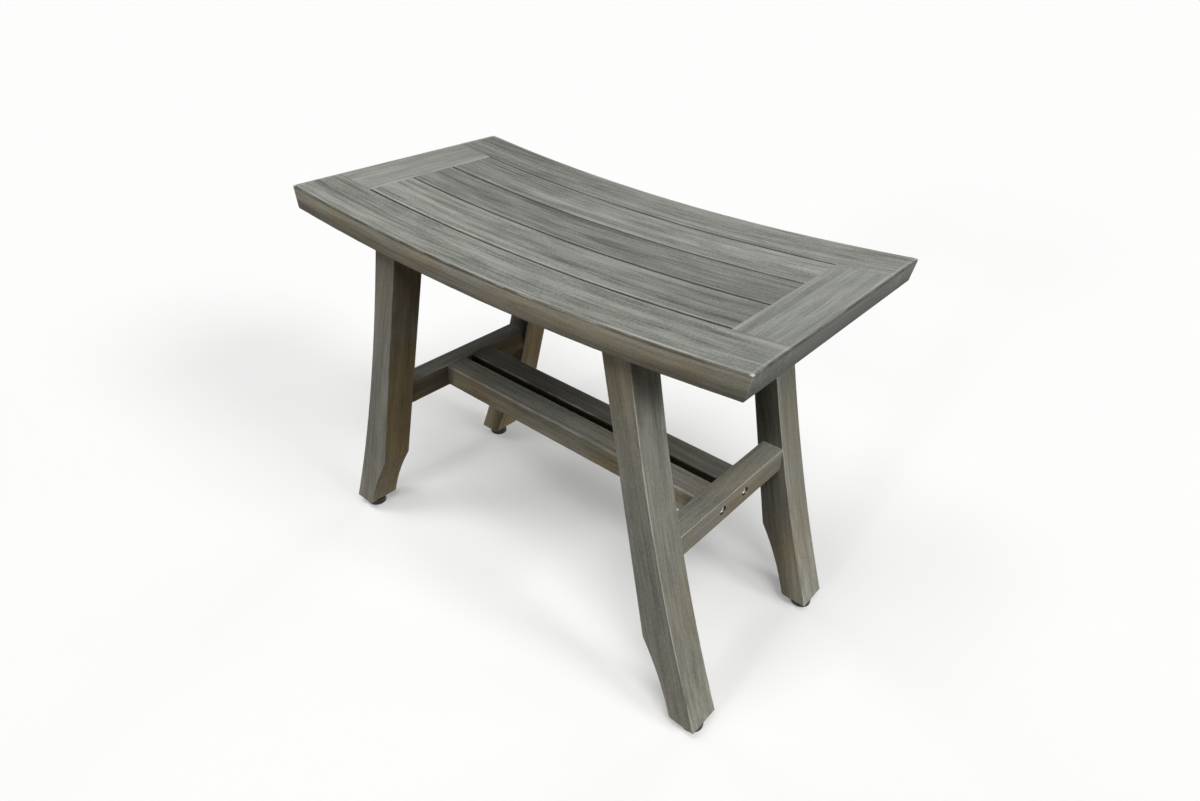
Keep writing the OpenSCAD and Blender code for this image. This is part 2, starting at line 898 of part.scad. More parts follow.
module shelf_slat_front() {
    color(teak)
        at_corner(1, -1)
            shelf_slat();
}

module shelf_slat_back() {
    color(teak)
        shelf_slat();
}

module seat_dowels() {
    color(beech)
        at_every_corner()
            seat_dowel_places()
                seat_dowel(0, 0);
}

module leg_dowels() {
    color(beech)
        at_every_corner()
            leg_dowel(0, 0);
}

module seat_screws() {
    color(steel)
        for (side = [-1, 1], row = [-1 : 1])
            translate([side * upper_rail_x, row * board_pitch, 0])
                seat_screw();
}

module shelf_bolts() {
    color(steel)
        at_every_corner()
            shelf_bolt();
}

module shelf_barrel_nuts() {
    color(steel)
        at_every_corner()
            barrel_nut();
}

module shelf_dowels() {
    color(beech)
        at_every_corner()
            shelf_dowel(0, 0);
}

module foot_inserts() {
    color(brass)
        at_every_corner()
            translate([foot_x, foot_y, foot_clearance])
                foot_insert();
}

module foot_stud_at(side_x, side_y) {
    color(steel)
        at_corner(side_x, side_y)
            foot_stud();
}

module foot_pad_at(side_x, side_y) {
    color(black_plastic)
        at_corner(side_x, side_y)
            foot_pad();
}

seat_front_rail();
seat_back_rail();
seat_end_rail_left();
seat_end_rail_right();
seat_slat_front();
seat_slat_middle();
seat_slat_back();
upper_cross_rail_left();
upper_cross_rail_right();
leg_front_left();
leg_front_right();
leg_back_left();
leg_back_right();
stretcher_left();
stretcher_right();
shelf_slat_front();
shelf_slat_back();
seat_dowels();
leg_dowels();
seat_screws();
shelf_bolts();
shelf_barrel_nuts();
shelf_dowels();
foot_inserts();
foot_stud_at(-1, -1);  // foot_stud_front_left
foot_stud_at(1, -1);  // foot_stud_front_right
foot_stud_at(-1, 1);  // foot_stud_back_left
foot_stud_at(1, 1);  // foot_stud_back_right
foot_pad_at(-1, -1);  // foot_pad_front_left
foot_pad_at(1, -1);  // foot_pad_front_right
foot_pad_at(-1, 1);  // foot_pad_back_left
foot_pad_at(1, 1);  // foot_pad_back_right
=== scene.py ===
import json
import math

import bpy
from mathutils import Matrix, Vector

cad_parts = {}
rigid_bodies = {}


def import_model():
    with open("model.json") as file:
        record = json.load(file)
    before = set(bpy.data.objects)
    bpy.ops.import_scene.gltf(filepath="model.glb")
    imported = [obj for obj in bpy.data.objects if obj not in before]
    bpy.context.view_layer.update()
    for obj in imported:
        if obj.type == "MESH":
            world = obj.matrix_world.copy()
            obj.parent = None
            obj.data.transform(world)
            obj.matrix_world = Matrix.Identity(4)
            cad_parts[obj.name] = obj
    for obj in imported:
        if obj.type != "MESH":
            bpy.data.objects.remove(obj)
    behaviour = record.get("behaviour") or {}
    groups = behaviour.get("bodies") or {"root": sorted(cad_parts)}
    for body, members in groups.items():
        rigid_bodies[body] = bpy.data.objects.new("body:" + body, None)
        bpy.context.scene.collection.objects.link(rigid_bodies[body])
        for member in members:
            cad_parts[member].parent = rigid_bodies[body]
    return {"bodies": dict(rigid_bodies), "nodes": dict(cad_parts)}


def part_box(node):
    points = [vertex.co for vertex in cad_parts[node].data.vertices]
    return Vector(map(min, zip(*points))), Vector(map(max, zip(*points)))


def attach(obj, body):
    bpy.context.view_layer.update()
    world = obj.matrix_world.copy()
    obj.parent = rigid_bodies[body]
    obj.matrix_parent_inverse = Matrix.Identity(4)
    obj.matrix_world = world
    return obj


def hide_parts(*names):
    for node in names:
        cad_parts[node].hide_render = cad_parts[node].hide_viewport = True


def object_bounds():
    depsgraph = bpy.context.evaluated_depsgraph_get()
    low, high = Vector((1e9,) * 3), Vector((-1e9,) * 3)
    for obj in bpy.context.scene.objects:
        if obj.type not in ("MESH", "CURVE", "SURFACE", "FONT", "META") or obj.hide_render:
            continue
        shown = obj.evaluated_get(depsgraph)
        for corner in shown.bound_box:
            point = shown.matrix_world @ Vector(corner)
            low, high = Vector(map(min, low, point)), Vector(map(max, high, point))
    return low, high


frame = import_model()
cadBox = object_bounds()


def hexColour(text):
    # sRGB hex to the linear values that Blender works in
    parts = [int(text[i:i + 2], 16) / 255 for i in (1, 3, 5)]
    return tuple(p / 12.92 if p <= 0.04045 else ((p + 0.055) / 1.055) ** 2.4 for p in parts) + (1.0,)


def addNode(tree, kind, settings=None, links=None):
    # settings: the node's properties, or one word for its operation
    # links: a node or a socket is linked, a list of them goes to one socket, the rest are plain values
    node = tree.nodes.new(kind)
    for key, value in ({"operation": settings} if isinstance(settings, str) else settings or {}).items():
        setattr(node, key, value)
    for socket, value in (links or {}).items():
        for source in value if isinstance(value, list) else [value]:
            if isinstance(source, bpy.types.Node):
                source = next(out for out in source.outputs if out.enabled)
            if isinstance(source, bpy.types.NodeSocket):
                tree.links.new(source, node.inputs[socket])
            else:
                node.inputs[socket].default_value = source
    return node


# short names for the kinds of node and the settings that come up again and again
maths, vectors, ramp, mix = "ShaderNodeMath", "ShaderNodeVectorMath", "ShaderNodeMapRange", "ShaderNodeMix"
split, combine, mapping, noise = ("ShaderNodeSeparateXYZ", "ShaderNodeCombineXYZ", "ShaderNodeMapping",
                                  "ShaderNodeTexNoise")
eased, colours = {"interpolation_type": "SMOOTHSTEP"}, {"data_type": "RGBA"}


def newMaterial(name):
    material = bpy.data.materials.new(name)
    material.use_nodes = True
    tree = material.node_tree
    tree.nodes.clear()
    shader = addNode(tree, "ShaderNodeBsdfPrincipled")
    addNode(tree, "ShaderNodeOutputMaterial", None, {"Surface": shader})
    return material, tree, shader


def dress(names, material):
    for name in names:
        for place in frame["nodes"][name].material_slots:
            place.material = material


def centreOf(node):
    # the centre of a CAD node's box
    lowest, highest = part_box(node)
    return (lowest + highest) / 2


def span(fromMin, fromMax, toMin=0.0, toMax=1.0):
    # a ramp's two ends and what they turn into
    return {"From Min": fromMin, "From Max": fromMax, "To Min": toMin, "To Max": toMax}


teakLook = {
    "paleWash": "#999b95",      # where the grey wash lies thick
    "darkWash": "#5c5f5a",      # where it has sunk into the open grain
    "contrast": 0.38,           # how much of the grain's sum lies between the middle and either wash
    "thinWashAndShade": "#8a7d61",      # warm brown where it is thin, also painted warm shade on sides and inward faces
    "brownFigure": (0.52, 1.30),        # how dark and how pale the grain makes the brown
    "patchy": span(0.38, 0.62, 0.65, 1.35),     # how far the brown comes and goes
    "lookingUp": span(0.3, 0.9),        # as the surface turns up, the top's share of brown takes over
    "inToOut": {"From Min": -0.03, "From Max": 0.03},       # from what looks in to what looks out
    "frontInside": 0.5,         # share of the inside's brown on fronts and backs that look in
    "wornAndLit": "#c6c5bd",        # arrises sanded back through the finish, with a painted highlight on them
    "gatheredAndShade": "#28251f",      # finish gathered in seams, and painted shade in the gaps and holes
    "waver": 0.0024,            # metres that the grain wanders from straight
    "waversPerMetre": (4, 18, 18),      # along and across the board
    "roughness": (0.56, 0.44), "fibreRange": (0.3, 0.7),        # between the fibres and on them
    "relief": 0.00022, "reliefStrength": 0.35,
    "shine": 0.04,              # specular level of the clear coat
}
grainLayers = {
    # metres along and across the grain, octaves, share of the figure
    "bands": (0.300, 0.0115, 2.0, 0.95),
    "streaks": (0.110, 0.0036, 2.0, 0.60),
    "fibres": (0.045, 0.0014, 2.0, 0.85),       # real fibres are finer; as coarse as a picture shows
    "patches": (0.055, 0.0200, 2.0, 0.40),
    "speckle": (0.0030, 0.0013, 1.0, 0.60),
}
cuts = {
    # figure: how strong the grain shows; top, side, inside: the share of brown on faces that look up,
    # out and in; tint: metres across a warm or a cool patch; endShade: how the end faces' tone differs,
    # a painted shade; edgeLight: how the front and back faces' tone differs, a painted light; wornAndLit:
    # how far the arrises are sanded, with a painted highlight
    "seat": {"figure": 1.30, "top": 0.05, "side": 0.40, "inside": 0.60, "tint": 0.050, "endShade": -0.26},
    "seatEnd": {"figure": 0.74, "top": 0.03, "side": 0.30, "inside": 0.60, "tint": 0.050, "endShade": -0.34},
    "leg": {"figure": 0.80, "top": 0.20, "side": 0.30, "inside": 0.85, "tint": 0.130, "wornAndLit": 0.45},
    "rail": {"figure": 0.90, "top": 0.28, "side": 0.42, "inside": 0.75, "tint": 0.070, "wornAndLit": 0.50},
    "slat": {"figure": 0.90, "top": 0.30, "side": 0.55, "inside": 0.70, "tint": 0.070, "wornAndLit": 0.40,
             "edgeLight": 0.3},
}
seatShape = {
    "axisHeight": 3.3814, "radius": 2.9382,     # the dished top is an arc about this line
    "length": 2 * cadBox[1][0], "depth": 2 * cadBox[1][1],
    "pitch": centreOf("seat_slat_back").y - centreOf("seat_slat_middle").y,
    "jointX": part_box("seat_end_rail_right")[0].x,       # the slats meet the end rails here
}
seatEdgeLook = {
    # metres from the line that it follows, reach to either side, and strength
    "seam": (-0.0004, 0.0028, 0.74),        # dark, along the seat's top arris
    "line": (0.0030, 0.0020, 0.25),         # pale, inside the seam: rubbed wear and painted highlight
    "gap": (0.0009, 0.0017, 0.52),          # painted shade, dark along each gap
    "behindGap": (0.0036, 0.0019, 0.34),    # painted highlight, pale behind each gap
    "joint": (0.0025, 0.0026),              # pale, on the end rails beside their joint with the slats
    # what changes over metres
    "outerFaces": span(0.012, 0.010),               # inward from the seat's outline
    "downwardShade": span(0.001, 0.027, 1.40, 0.62),         # painted shade: the outer faces' tone, down from the top
    "gapsStart": 0.001,                             # inward from the joint with the end rails
    "insideGaps": {"To Min": 0.3, "To Max": 0.9},   # how dark the joints are inside, and the painted shade inside the gaps
    "gapFront": span(-0.03, -0.09, 0.4),            # the painted highlights are strongest towards the front
    "jointFront": span(0.04, -0.06, 0.12, 0.34),
    "corner": span(0.0042, 0.0022, 0.0, 0.9),       # inward from the seat's corners
    # what changes as the surface turns: from up to upright, and from one side to the next
    "upright": span(0.80, 0.40),
    "cornerTop": span(0.2, 0.6),
    "turnedBothWays": span(0.3, 0.55, 0.0, 0.3),
    "endFaces": span(0.6, 0.85), "endBrown": -0.9,
    "patchiness": span(0.32, 0.62, 0.35),              # patches where the rubbing and the painted highlights are more and less
    "faint": span(0.80, 0.40, 0.0, 0.35), "faintTo": 0.55,      # the figure on the outer faces
}
legToneAndShade = {
    # what changes over metres of height
    "frontMiddle": 0.2, "frontBrown": span(0.02, 0.17, 0.55, 1.35),     # up and down from the middle
    "sideBrown": span(0.24, 0.35, 1.15, 0.45),
    "feet": span(0.02, 0.16, 1.20, 1.0),            # painted light: the tone is palest at the feet
    # tone of the fronts and backs that look in, low and high, a painted shade, and of the sides that
    # look in, a painted light
    "lowInside": span(0.07, 0.16, 1.0, 0.68), "highInside": span(0.20, 0.25, 1.0, 0.70),
    "sideInside": 1.2, "looksIn": span(0.02, -0.02),
}
legFace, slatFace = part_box("leg_back_right")[0].y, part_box("shelf_slat_back")[0].y
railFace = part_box("stretcher_right")[1].x
shelfLook = {
    "boltY": centreOf("shelf_slat_back").y, "boltZ": centreOf("shelf_bolts").z,
    "hole": span(0.0064, 0.0058, 0.0, 0.9),         # from a bolt's axis, painted shade inside its sunk hole
    "sunk": span(railFace - 0.0006, railFace - 0.0010),     # along X, below the stretchers' outer faces
    "shoulder": span(legFace - 0.0015, legFace - 0.0005, 0.0, 0.5),     # along Y, rubbed at the legs
    "gap": span(slatFace + 0.0016, slatFace + 0.0004, 0.0, 0.85),       # along Y, painted shade between the slats
}
paleArrisLook = {
    "turned": span(0.93, 0.78),     # from the board's own faces to its rounds
    "patches": (0.36, 0.62), "least": 0.2,      # patches of rubbing and painted highlight, and the share where they are least
}
seedShift, layerStep = (3.17, 7.31, 1.73), 11       # each seed and layer has its own place in the noise


def grainLayer(tree, place, size, seed):
    # noise drawn out along the board
    length, width, octaves, share = size
    return addNode(tree, noise, None, {
        "Scale": 1.0, "Detail": octaves, "Roughness": 0.55, "Vector": addNode(tree, mapping, None, {
            "Vector": place, "Location": tuple(seed * step for step in seedShift),
            "Scale": (1 / length, 1 / width, 1 / width)})})


def ridge(tree, value, centre, reach, height=1.0):
    # rises to its height near the centre and is gone at the reach to either side
    off = addNode(tree, maths, "ABSOLUTE", {0: addNode(tree, maths, "SUBTRACT", {0: value, 1: centre})})
    crest = 0.3 * reach
    return addNode(tree, ramp, eased, {"Value": off, **span(reach, crest, 0.0, height)})


def linkFinish(tree, shader, colour, rough, relief):
    for socket, source in (("Base Color", colour.outputs[2]), ("Roughness", rough.outputs[0]),
                           ("Normal", relief.outputs[0])):
        tree.links.new(source, shader.inputs[socket])


def seatEdges(tree, at, normal, facing, depth, patches, endRail):
    # gathered finish and painted shade, rubbed wear and painted highlight, and the tone along a seat board
    recipe, pitch = seatEdgeLook, seatShape["pitch"]
    jointFromEnd = seatShape["length"] / 2 - seatShape["jointX"]
    fromEnd, fromSide = (addNode(tree, maths, "SUBTRACT", {
        0: seatShape[size] / 2, 1: addNode(tree, maths, "ABSOLUTE", {0: at[axis]})
    }) for size, axis in (("length", "X"), ("depth", "Y")))
    fromEdge = addNode(tree, maths, "MINIMUM", {0: fromEnd, 1: fromSide})
    outer = addNode(tree, ramp, None, {"Value": fromEdge, **recipe["outerFaces"]})
    upright = addNode(tree, ramp, eased, {"Value": normal["Z"], **recipe["upright"]})
    patchiness = addNode(tree, ramp, eased, {"Value": patches, **recipe["patchiness"]})
    # painted shade: the outer faces darken towards their lower arrises
    downwardShade = addNode(tree, mix, None, {
        0: addNode(tree, maths, "MULTIPLY", {0: upright, 1: outer}), 2: 1.0,
        3: addNode(tree, ramp, eased, {"Value": depth, **recipe["downwardShade"]})})
    # over the top arrises a pale line, rubbed wear and painted highlight, lies inside a dark one
    over = addNode(tree, maths, "SUBTRACT", {0: fromEdge, 1: depth})
    seam, line = (addNode(tree, maths, "MULTIPLY", {
        0: patchiness, 1: ridge(tree, over, *recipe[key])}) for key in ("seam", "line"))
    # painted shade: the gaps are dark inside and along both their arrises; behind each lies a pale line of
    # painted highlight
    fromGap = addNode(tree, maths, "MULTIPLY_ADD", {1: pitch, 2: -0.5 * pitch, 0: addNode(
        tree, maths, "FRACT", {0: addNode(tree, maths, "DIVIDE", {0: at["Y"], 1: pitch})})})
    amongSlats = addNode(tree, ramp, None, {
        "Value": fromEnd, **span(jointFromEnd - recipe["gapsStart"], jointFromEnd)})
    inside = addNode(tree, maths, "MULTIPLY", {
        0: upright, 1: addNode(tree, ramp, None, {"Value": amongSlats, **recipe["insideGaps"]})})
    gap = addNode(tree, maths, "MAXIMUM", {0: inside, 1: addNode(tree, maths, "MULTIPLY", {
        0: amongSlats, 1: ridge(tree, fromGap, *recipe["gap"])})})
    # painted highlight: a pale line behind each gap, strongest towards the front
    behind = addNode(tree, maths, "MULTIPLY", {0: amongSlats, 1: addNode(tree, maths, "MULTIPLY", {
        0: ridge(tree, fromGap, *recipe["behindGap"]),
        1: addNode(tree, ramp, eased, {"Value": at["Y"], **recipe["gapFront"]})})})
    shade = addNode(tree, mix, None, {0: outer, 2: gap, 3: seam})
    worn = addNode(tree, mix, None, {
        0: outer, 2: addNode(tree, maths, "MULTIPLY", {0: patchiness, 1: behind}), 3: line})
    # the seat's four top corners are rubbed bare and painted highlit, its upright ones less so
    corner = addNode(tree, maths, "MULTIPLY", {
        0: addNode(tree, ramp, eased, {
            "Value": addNode(tree, maths, "MAXIMUM", {0: fromEnd, 1: fromSide}), **recipe["corner"]}),
        1: addNode(tree, ramp, None, {"Value": normal["Z"], **recipe["cornerTop"]})})
    turned = addNode(tree, ramp, eased, {**recipe["turnedBothWays"], "Value": addNode(
        tree, maths, "MINIMUM", {0: facing["X"], 1: facing["Y"]})})
    rubs = [corner, turned]
    if endRail:
        # the wash has gathered pale in a strip along the joint with the slats, most towards the front
        behindJoint, reach = recipe["joint"]
        strip = addNode(tree, maths, "MULTIPLY", {
            0: ridge(tree, fromEnd, jointFromEnd - behindJoint, reach),
            1: addNode(tree, ramp, eased, {"Value": at["Y"], **recipe["jointFront"]})})
        rubs.append(addNode(tree, maths, "MULTIPLY", {0: patchiness, 1: strip}))
    for rub in rubs:
        worn = addNode(tree, maths, "MAXIMUM", {0: worn, 1: rub})
    return shade, worn, downwardShade


def paleArrises(tree, surface, turn, patches, wornAndLit):
    # how pale the arrises are, sanded back and with a painted highlight: most where the surface
    # turns away from the board's own faces
    own = addNode(tree, split, None, {0: addNode(tree, vectors, "ABSOLUTE", {0: addNode(
        tree, mapping, {"vector_type": "VECTOR"}, {"Vector": surface, "Rotation": turn})})}).outputs
    flat = addNode(tree, maths, "MAXIMUM", {
        0: own["X"], 1: addNode(tree, maths, "MAXIMUM", {0: own["Y"], 1: own["Z"]})})
    return addNode(tree, maths, "MULTIPLY", {
        0: addNode(tree, ramp, eased, {"Value": flat, **paleArrisLook["turned"]}),
        1: addNode(tree, ramp, eased, {
            "Value": patches, **span(*paleArrisLook["patches"], paleArrisLook["least"] * wornAndLit, wornAndLit)})})


def railEdges(tree, at, worn):
    # painted shade inside the sunk bolt holes, and a rubbed line along each shoulder
    besideX, besideY = (addNode(tree, maths, "ABSOLUTE", {0: at[axis]}) for axis in "XY")
    fromBolt = addNode(tree, vectors, "DISTANCE", {
        0: addNode(tree, combine, None, {"Y": besideY, "Z": at["Z"]}),
        1: (0, shelfLook["boltY"], shelfLook["boltZ"])})
    hole = addNode(tree, ramp, None, {"Value": fromBolt, **shelfLook["hole"]})
    sunk = addNode(tree, ramp, None, {"Value": besideX, **shelfLook["sunk"]})
    shoulder = addNode(tree, ramp, eased, {"Value": besideY, **shelfLook["shoulder"]})
    return (addNode(tree, maths, "MULTIPLY", {0: hole, 1: sunk}),
            addNode(tree, maths, "MAXIMUM", {0: worn, 1: shoulder}))


def legLevels(tree, at, facing, outward):
    # how much more or less brown a leg has, and how deep its tone is, by height; the tone holds painted
    # light at the feet and painted shade and light on what looks in
    recipe = legToneAndShade
    fromMiddle = addNode(tree, maths, "ABSOLUTE", {0: addNode(
        tree, maths, "SUBTRACT", {0: at["Z"], 1: recipe["frontMiddle"]})})
    brown = addNode(tree, mix, None, {
        0: facing["X"], 2: addNode(tree, ramp, eased, {"Value": fromMiddle, **recipe["frontBrown"]}),
        3: addNode(tree, ramp, eased, {"Value": at["Z"], **recipe["sideBrown"]})})
    # painted light: the tone is palest at the feet
    feet, low, high = (addNode(tree, ramp, eased, {"Value": at["Z"], **recipe[key]}) for key in (
        "feet", "lowInside", "highInside"))
    # painted shade: what looks in is darker above the feet on the fronts; painted light: lighter on the
    # sides
    looksIn = addNode(tree, ramp, eased, {"Value": outward, **recipe["looksIn"]})
    inside = addNode(tree, mix, None, {
        0: facing["X"], 2: addNode(tree, maths, "MULTIPLY", {0: low, 1: high}), 3: recipe["sideInside"]})
    return brown, addNode(tree, maths, "MULTIPLY", {
        0: feet, 1: addNode(tree, mix, None, {0: looksIn, 2: 1.0, 3: inside})})


def washedTeak(name, cut, turn, tone, drift, seed):
    # teak, planed and sanded, grey wash under a satin clear coat: soft grey with fine light and dark
    # streaks, warm brown where the wash is thin, dark seams, and pale arrises where it is rubbed off;
    # painted shade and light lie in its tone, gaps and holes, and painted highlights on its arrises
    look, share, dished = teakLook, cuts[cut], cut in ("seat", "seatEnd")
    material, tree, shader = newMaterial(name)
    spot = addNode(tree, "ShaderNodeTexCoord").outputs
    point = straight = spot["Object"]
    at, normal, facing = (addNode(tree, split, None, {0: source}).outputs for source in (
        spot["Object"], spot["Normal"], addNode(tree, vectors, "ABSOLUTE", {0: spot["Normal"]})))
    if dished:
        # the grain follows the dish, so depth below the top stands for height
        depth = addNode(tree, maths, "SUBTRACT", {0: addNode(tree, vectors, "LENGTH", {0: addNode(
            tree, combine, None, {"X": at["X"], "Z": addNode(tree, maths, "SUBTRACT", {
                0: at["Z"], 1: seatShape["axisHeight"]})})}), 1: seatShape["radius"]})
        straight = addNode(tree, combine, None, {"X": at["X"], "Y": at["Y"], "Z": depth})
    along = addNode(tree, mapping, None, {"Vector": straight, "Rotation": turn})
    wander = addNode(tree, noise, None, {"Scale": 1.0, "Detail": 1.0, "Vector": addNode(
        tree, mapping, None, {
            "Vector": along, "Location": (seed, seed * 2, 0), "Scale": look["waversPerMetre"]})})
    grain = addNode(tree, vectors, "MULTIPLY_ADD", {
        0: wander.outputs["Color"], 1: (0, look["waver"], look["waver"]), 2: along})
    layer, total = {}, 0.0
    for key, size in grainLayers.items():
        layer[key] = grainLayer(tree, grain, size, seed + layerStep * len(layer))
        total = addNode(tree, maths, "MULTIPLY_ADD", {0: layer[key], 1: size[3], 2: total})
    half, reach = sum(size[3] for size in grainLayers.values()) / 2, look["contrast"] / share["figure"]
    figure = addNode(tree, ramp, None, {"Value": total, **span(half - reach, half + reach)})
    if dished:
        # fainter on the outer faces
        figure = addNode(tree, mix, None, {2: figure, 3: seatEdgeLook["faintTo"], 0: addNode(
            tree, ramp, eased, {"Value": normal["Z"], **seatEdgeLook["faint"]})})
    wash = addNode(tree, mix, colours, {
        0: figure, 6: hexColour(look["darkWash"]), 7: hexColour(look["paleWash"])})

    # the wash is thick on what faces up, thinner on the sides and thinnest on what faces inwards;
    # the brown on the sides and inward faces is also painted warm shade
    tint = addNode(tree, noise, None, {"Scale": 1 / share["tint"], "Detail": 1.0, "Vector": addNode(
        tree, mapping, None, {"Vector": point, "Location": (seed, -seed, seed * 3)})})
    outward = addNode(tree, vectors, "DOT_PRODUCT", {
        0: addNode(tree, vectors, "MULTIPLY", {0: point, 1: (1, 1, 0)}), 1: spot["Normal"]})
    side = addNode(tree, ramp, eased, {
        "Value": outward, **look["inToOut"], "To Max": share["side"],
        "To Min": addNode(tree, maths, "MULTIPLY_ADD", {
            0: facing["Y"], 1: (look["frontInside"] - 1) * share["inside"], 2: share["inside"]})})
    brownByFacing = addNode(tree, mix, None, {2: side, 3: share["top"], 0: addNode(
        tree, ramp, eased, {"Value": normal["Z"], **look["lookingUp"]})})
    patchy = addNode(tree, ramp, eased, {"Value": tint, **look["patchy"]})
    level = addNode(tree, maths, "MULTIPLY_ADD", {0: at["X"], 1: drift * tone, 2: tone})
    more = deeper = None
    if dished:
        # painted shade: the end faces are darker; they are also cooler
        endFace = addNode(tree, ramp, eased, {"Value": facing["X"], **seatEdgeLook["endFaces"]})
        more, deeper = (addNode(tree, maths, "MULTIPLY_ADD", {0: endFace, 1: change, 2: 1.0})
                        for change in (seatEdgeLook["endBrown"], share["endShade"]))
    elif cut == "leg":
        more, deeper = legLevels(tree, at, facing, outward)
    elif cut == "slat":
        # painted light: the faces that look to the front or back are lighter
        deeper = addNode(tree, maths, "MULTIPLY_ADD", {0: facing["Y"], 1: share["edgeLight"], 2: 1.0})
    if more is not None:
        patchy = addNode(tree, maths, "MULTIPLY", {0: patchy, 1: more})
    if deeper is not None:
        level = addNode(tree, maths, "MULTIPLY", {0: level, 1: deeper})
    brownShare = addNode(tree, maths, {"operation": "MULTIPLY", "use_clamp": True}, {0: brownByFacing, 1: patchy})
    bare = addNode(tree, vectors, "SCALE", {0: hexColour(look["thinWashAndShade"])[:3], "Scale": addNode(
        tree, ramp, None, {"Value": figure, **span(0.0, 1.0, *look["brownFigure"])})})
    wood = addNode(tree, mix, colours, {0: brownShare, 6: wash, 7: bare})

    shade = 0.0
    if dished:
        shade, worn, downwardShade = seatEdges(tree, at, normal, facing, depth, layer["patches"], turn == alongY)
        level = addNode(tree, maths, "MULTIPLY", {0: level, 1: downwardShade})
    else:
        worn = paleArrises(tree, spot["Normal"], turn, layer["patches"], share["wornAndLit"])
    if cut == "rail":
        shade, worn = railEdges(tree, at, worn)
    elif cut == "slat" and turn == alongX:
        # painted shade: the gap between the shelf slats is dark
        shade = addNode(tree, ramp, None, {
            "Value": addNode(tree, maths, "ABSOLUTE", {0: at["Y"]}), **shelfLook["gap"]})
    # the dark colour: finish gathered in seams, and painted shade in the gaps and holes
    toned = addNode(tree, mix, colours, {
        0: shade, 6: addNode(tree, vectors, "SCALE", {0: wood, "Scale": level}),
        7: hexColour(look["gatheredAndShade"])})
    # pale arrises: sanded wear and painted highlight
    finish = addNode(tree, mix, colours, {0: worn, 6: toned, 7: hexColour(look["wornAndLit"])})
    rough = addNode(tree, ramp, None, {
        "Value": layer["fibres"], **span(*look["fibreRange"], *look["roughness"])})
    relief = addNode(tree, "ShaderNodeBump", None, {
        "Strength": look["reliefStrength"], "Distance": look["relief"], "Height": addNode(
            tree, maths, "ADD", {0: layer["fibres"], 1: layer["speckle"]})})
    linkFinish(tree, shader, finish, rough, relief)
    shader.inputs["Specular IOR Level"].default_value = look["shine"]
    return material


alongX, alongY = (0, 0, 0), (0, 0, math.radians(-90))
legTilt = 15.7      # degrees that the legs' grain leans
upRight, upLeft = (0, math.radians(90 + legTilt), 0), (0, math.radians(90 - legTilt), 0)
boards = {
    # node: cut, grain direction, tone, how the tone drifts for each metre towards +X, seed
    "seat_front_rail": ("seat", alongX, 0.96, 0.0, 1.7),
    "seat_slat_front": ("seat", alongX, 0.92, -0.8, 2.9),
    "seat_slat_middle": ("seat", alongX, 0.76, -0.2, 4.1),
    "seat_slat_back": ("seat", alongX, 0.98, 0.5, 5.7),
    "seat_back_rail": ("seat", alongX, 0.87, 0.4, 7.1),
    "seat_end_rail_left": ("seatEnd", alongY, 1.05, 0.0, 7.9),
    "seat_end_rail_right": ("seatEnd", alongY, 1.05, 0.0, 8.4),
    "upper_cross_rail_left": ("slat", alongY, 0.90, 0.0, 9.6),
    "upper_cross_rail_right": ("slat", alongY, 0.90, 0.0, 10.2),
    "leg_front_left": ("leg", upLeft, 0.95, 0.0, 11.5),
    "leg_front_right": ("leg", upRight, 1.01, 0.0, 12.8),
    "leg_back_left": ("leg", upLeft, 1.15, 0.0, 13.1),
    "leg_back_right": ("leg", upRight, 1.09, 0.0, 14.7),
    # painted shade: the left stretcher, under the seat, has a lower tone
    "stretcher_left": ("rail", alongY, 0.72, 0.0, 15.2),
    "stretcher_right": ("rail", alongY, 1.05, 0.0, 16.6),
    # painted shade: both shelf slats darken to the left, the back one more, and its tone is lower
    "shelf_slat_front": ("slat", alongX, 0.87, 0.3, 17.3),
    "shelf_slat_back": ("slat", alongX, 0.50, 2.2, 18.8),
}
for board, (cut, turn, tone, drift, seed) in boards.items():
    dress([board], washedTeak("washedTeak_" + board, cut, turn, tone, drift, seed))
print("boards finished:", len(boards))


metalLook = {
    "stainless": "#c9c9c6", "zinc": "#b4b7ba", "brass": "#b3965a",
    "darkShare": 0.72,          # how dark the mottling goes
    "latheMark": 0.0004,        # metres across a turning mark
    "mottle": 0.004,            # metres across a patch
    "relief": 0.00003, "roughnessSpread": (0.08, -0.05),
}


def turnedMetal(name, colour, roughness):
    # metal turned on a lathe: bright, with fine marks that spread the shine and a faint mottling
    look = metalLook
    material, tree, shader = newMaterial(name)
    point = addNode(tree, "ShaderNodeTexCoord").outputs["Object"]
    mottle = addNode(tree, noise, None, {"Vector": point, "Scale": 1 / look["mottle"], "Detail": 3.0})
    marks = addNode(tree, noise, None, {"Vector": point, "Scale": 1 / look["latheMark"], "Detail": 2.0})
    dark = tuple(c * look["darkShare"] for c in hexColour(colour)[:3]) + (1.0,)
    tint = addNode(tree, mix, colours, {0: mottle, 6: dark, 7: hexColour(colour)})
    rough = addNode(tree, ramp, None, {"Value": mottle, **span(
        0.3, 0.7, *(roughness + change for change in look["roughnessSpread"]))})
    relief = addNode(tree, "ShaderNodeBump", None, {
        "Strength": 0.2, "Distance": look["relief"], "Height": marks})
    linkFinish(tree, shader, tint, rough, relief)
    shader.inputs["Metallic"].default_value = 1.0
    return material


nylonLook = {
    "colour": "#1b1b1c", "worn": "#2c2c2c",
    "grit": 0.0006, "scuffs": 0.0055,       # metres across a grain and a scuff
    "roughness": (0.42, 0.62), "relief": 0.00006,
}


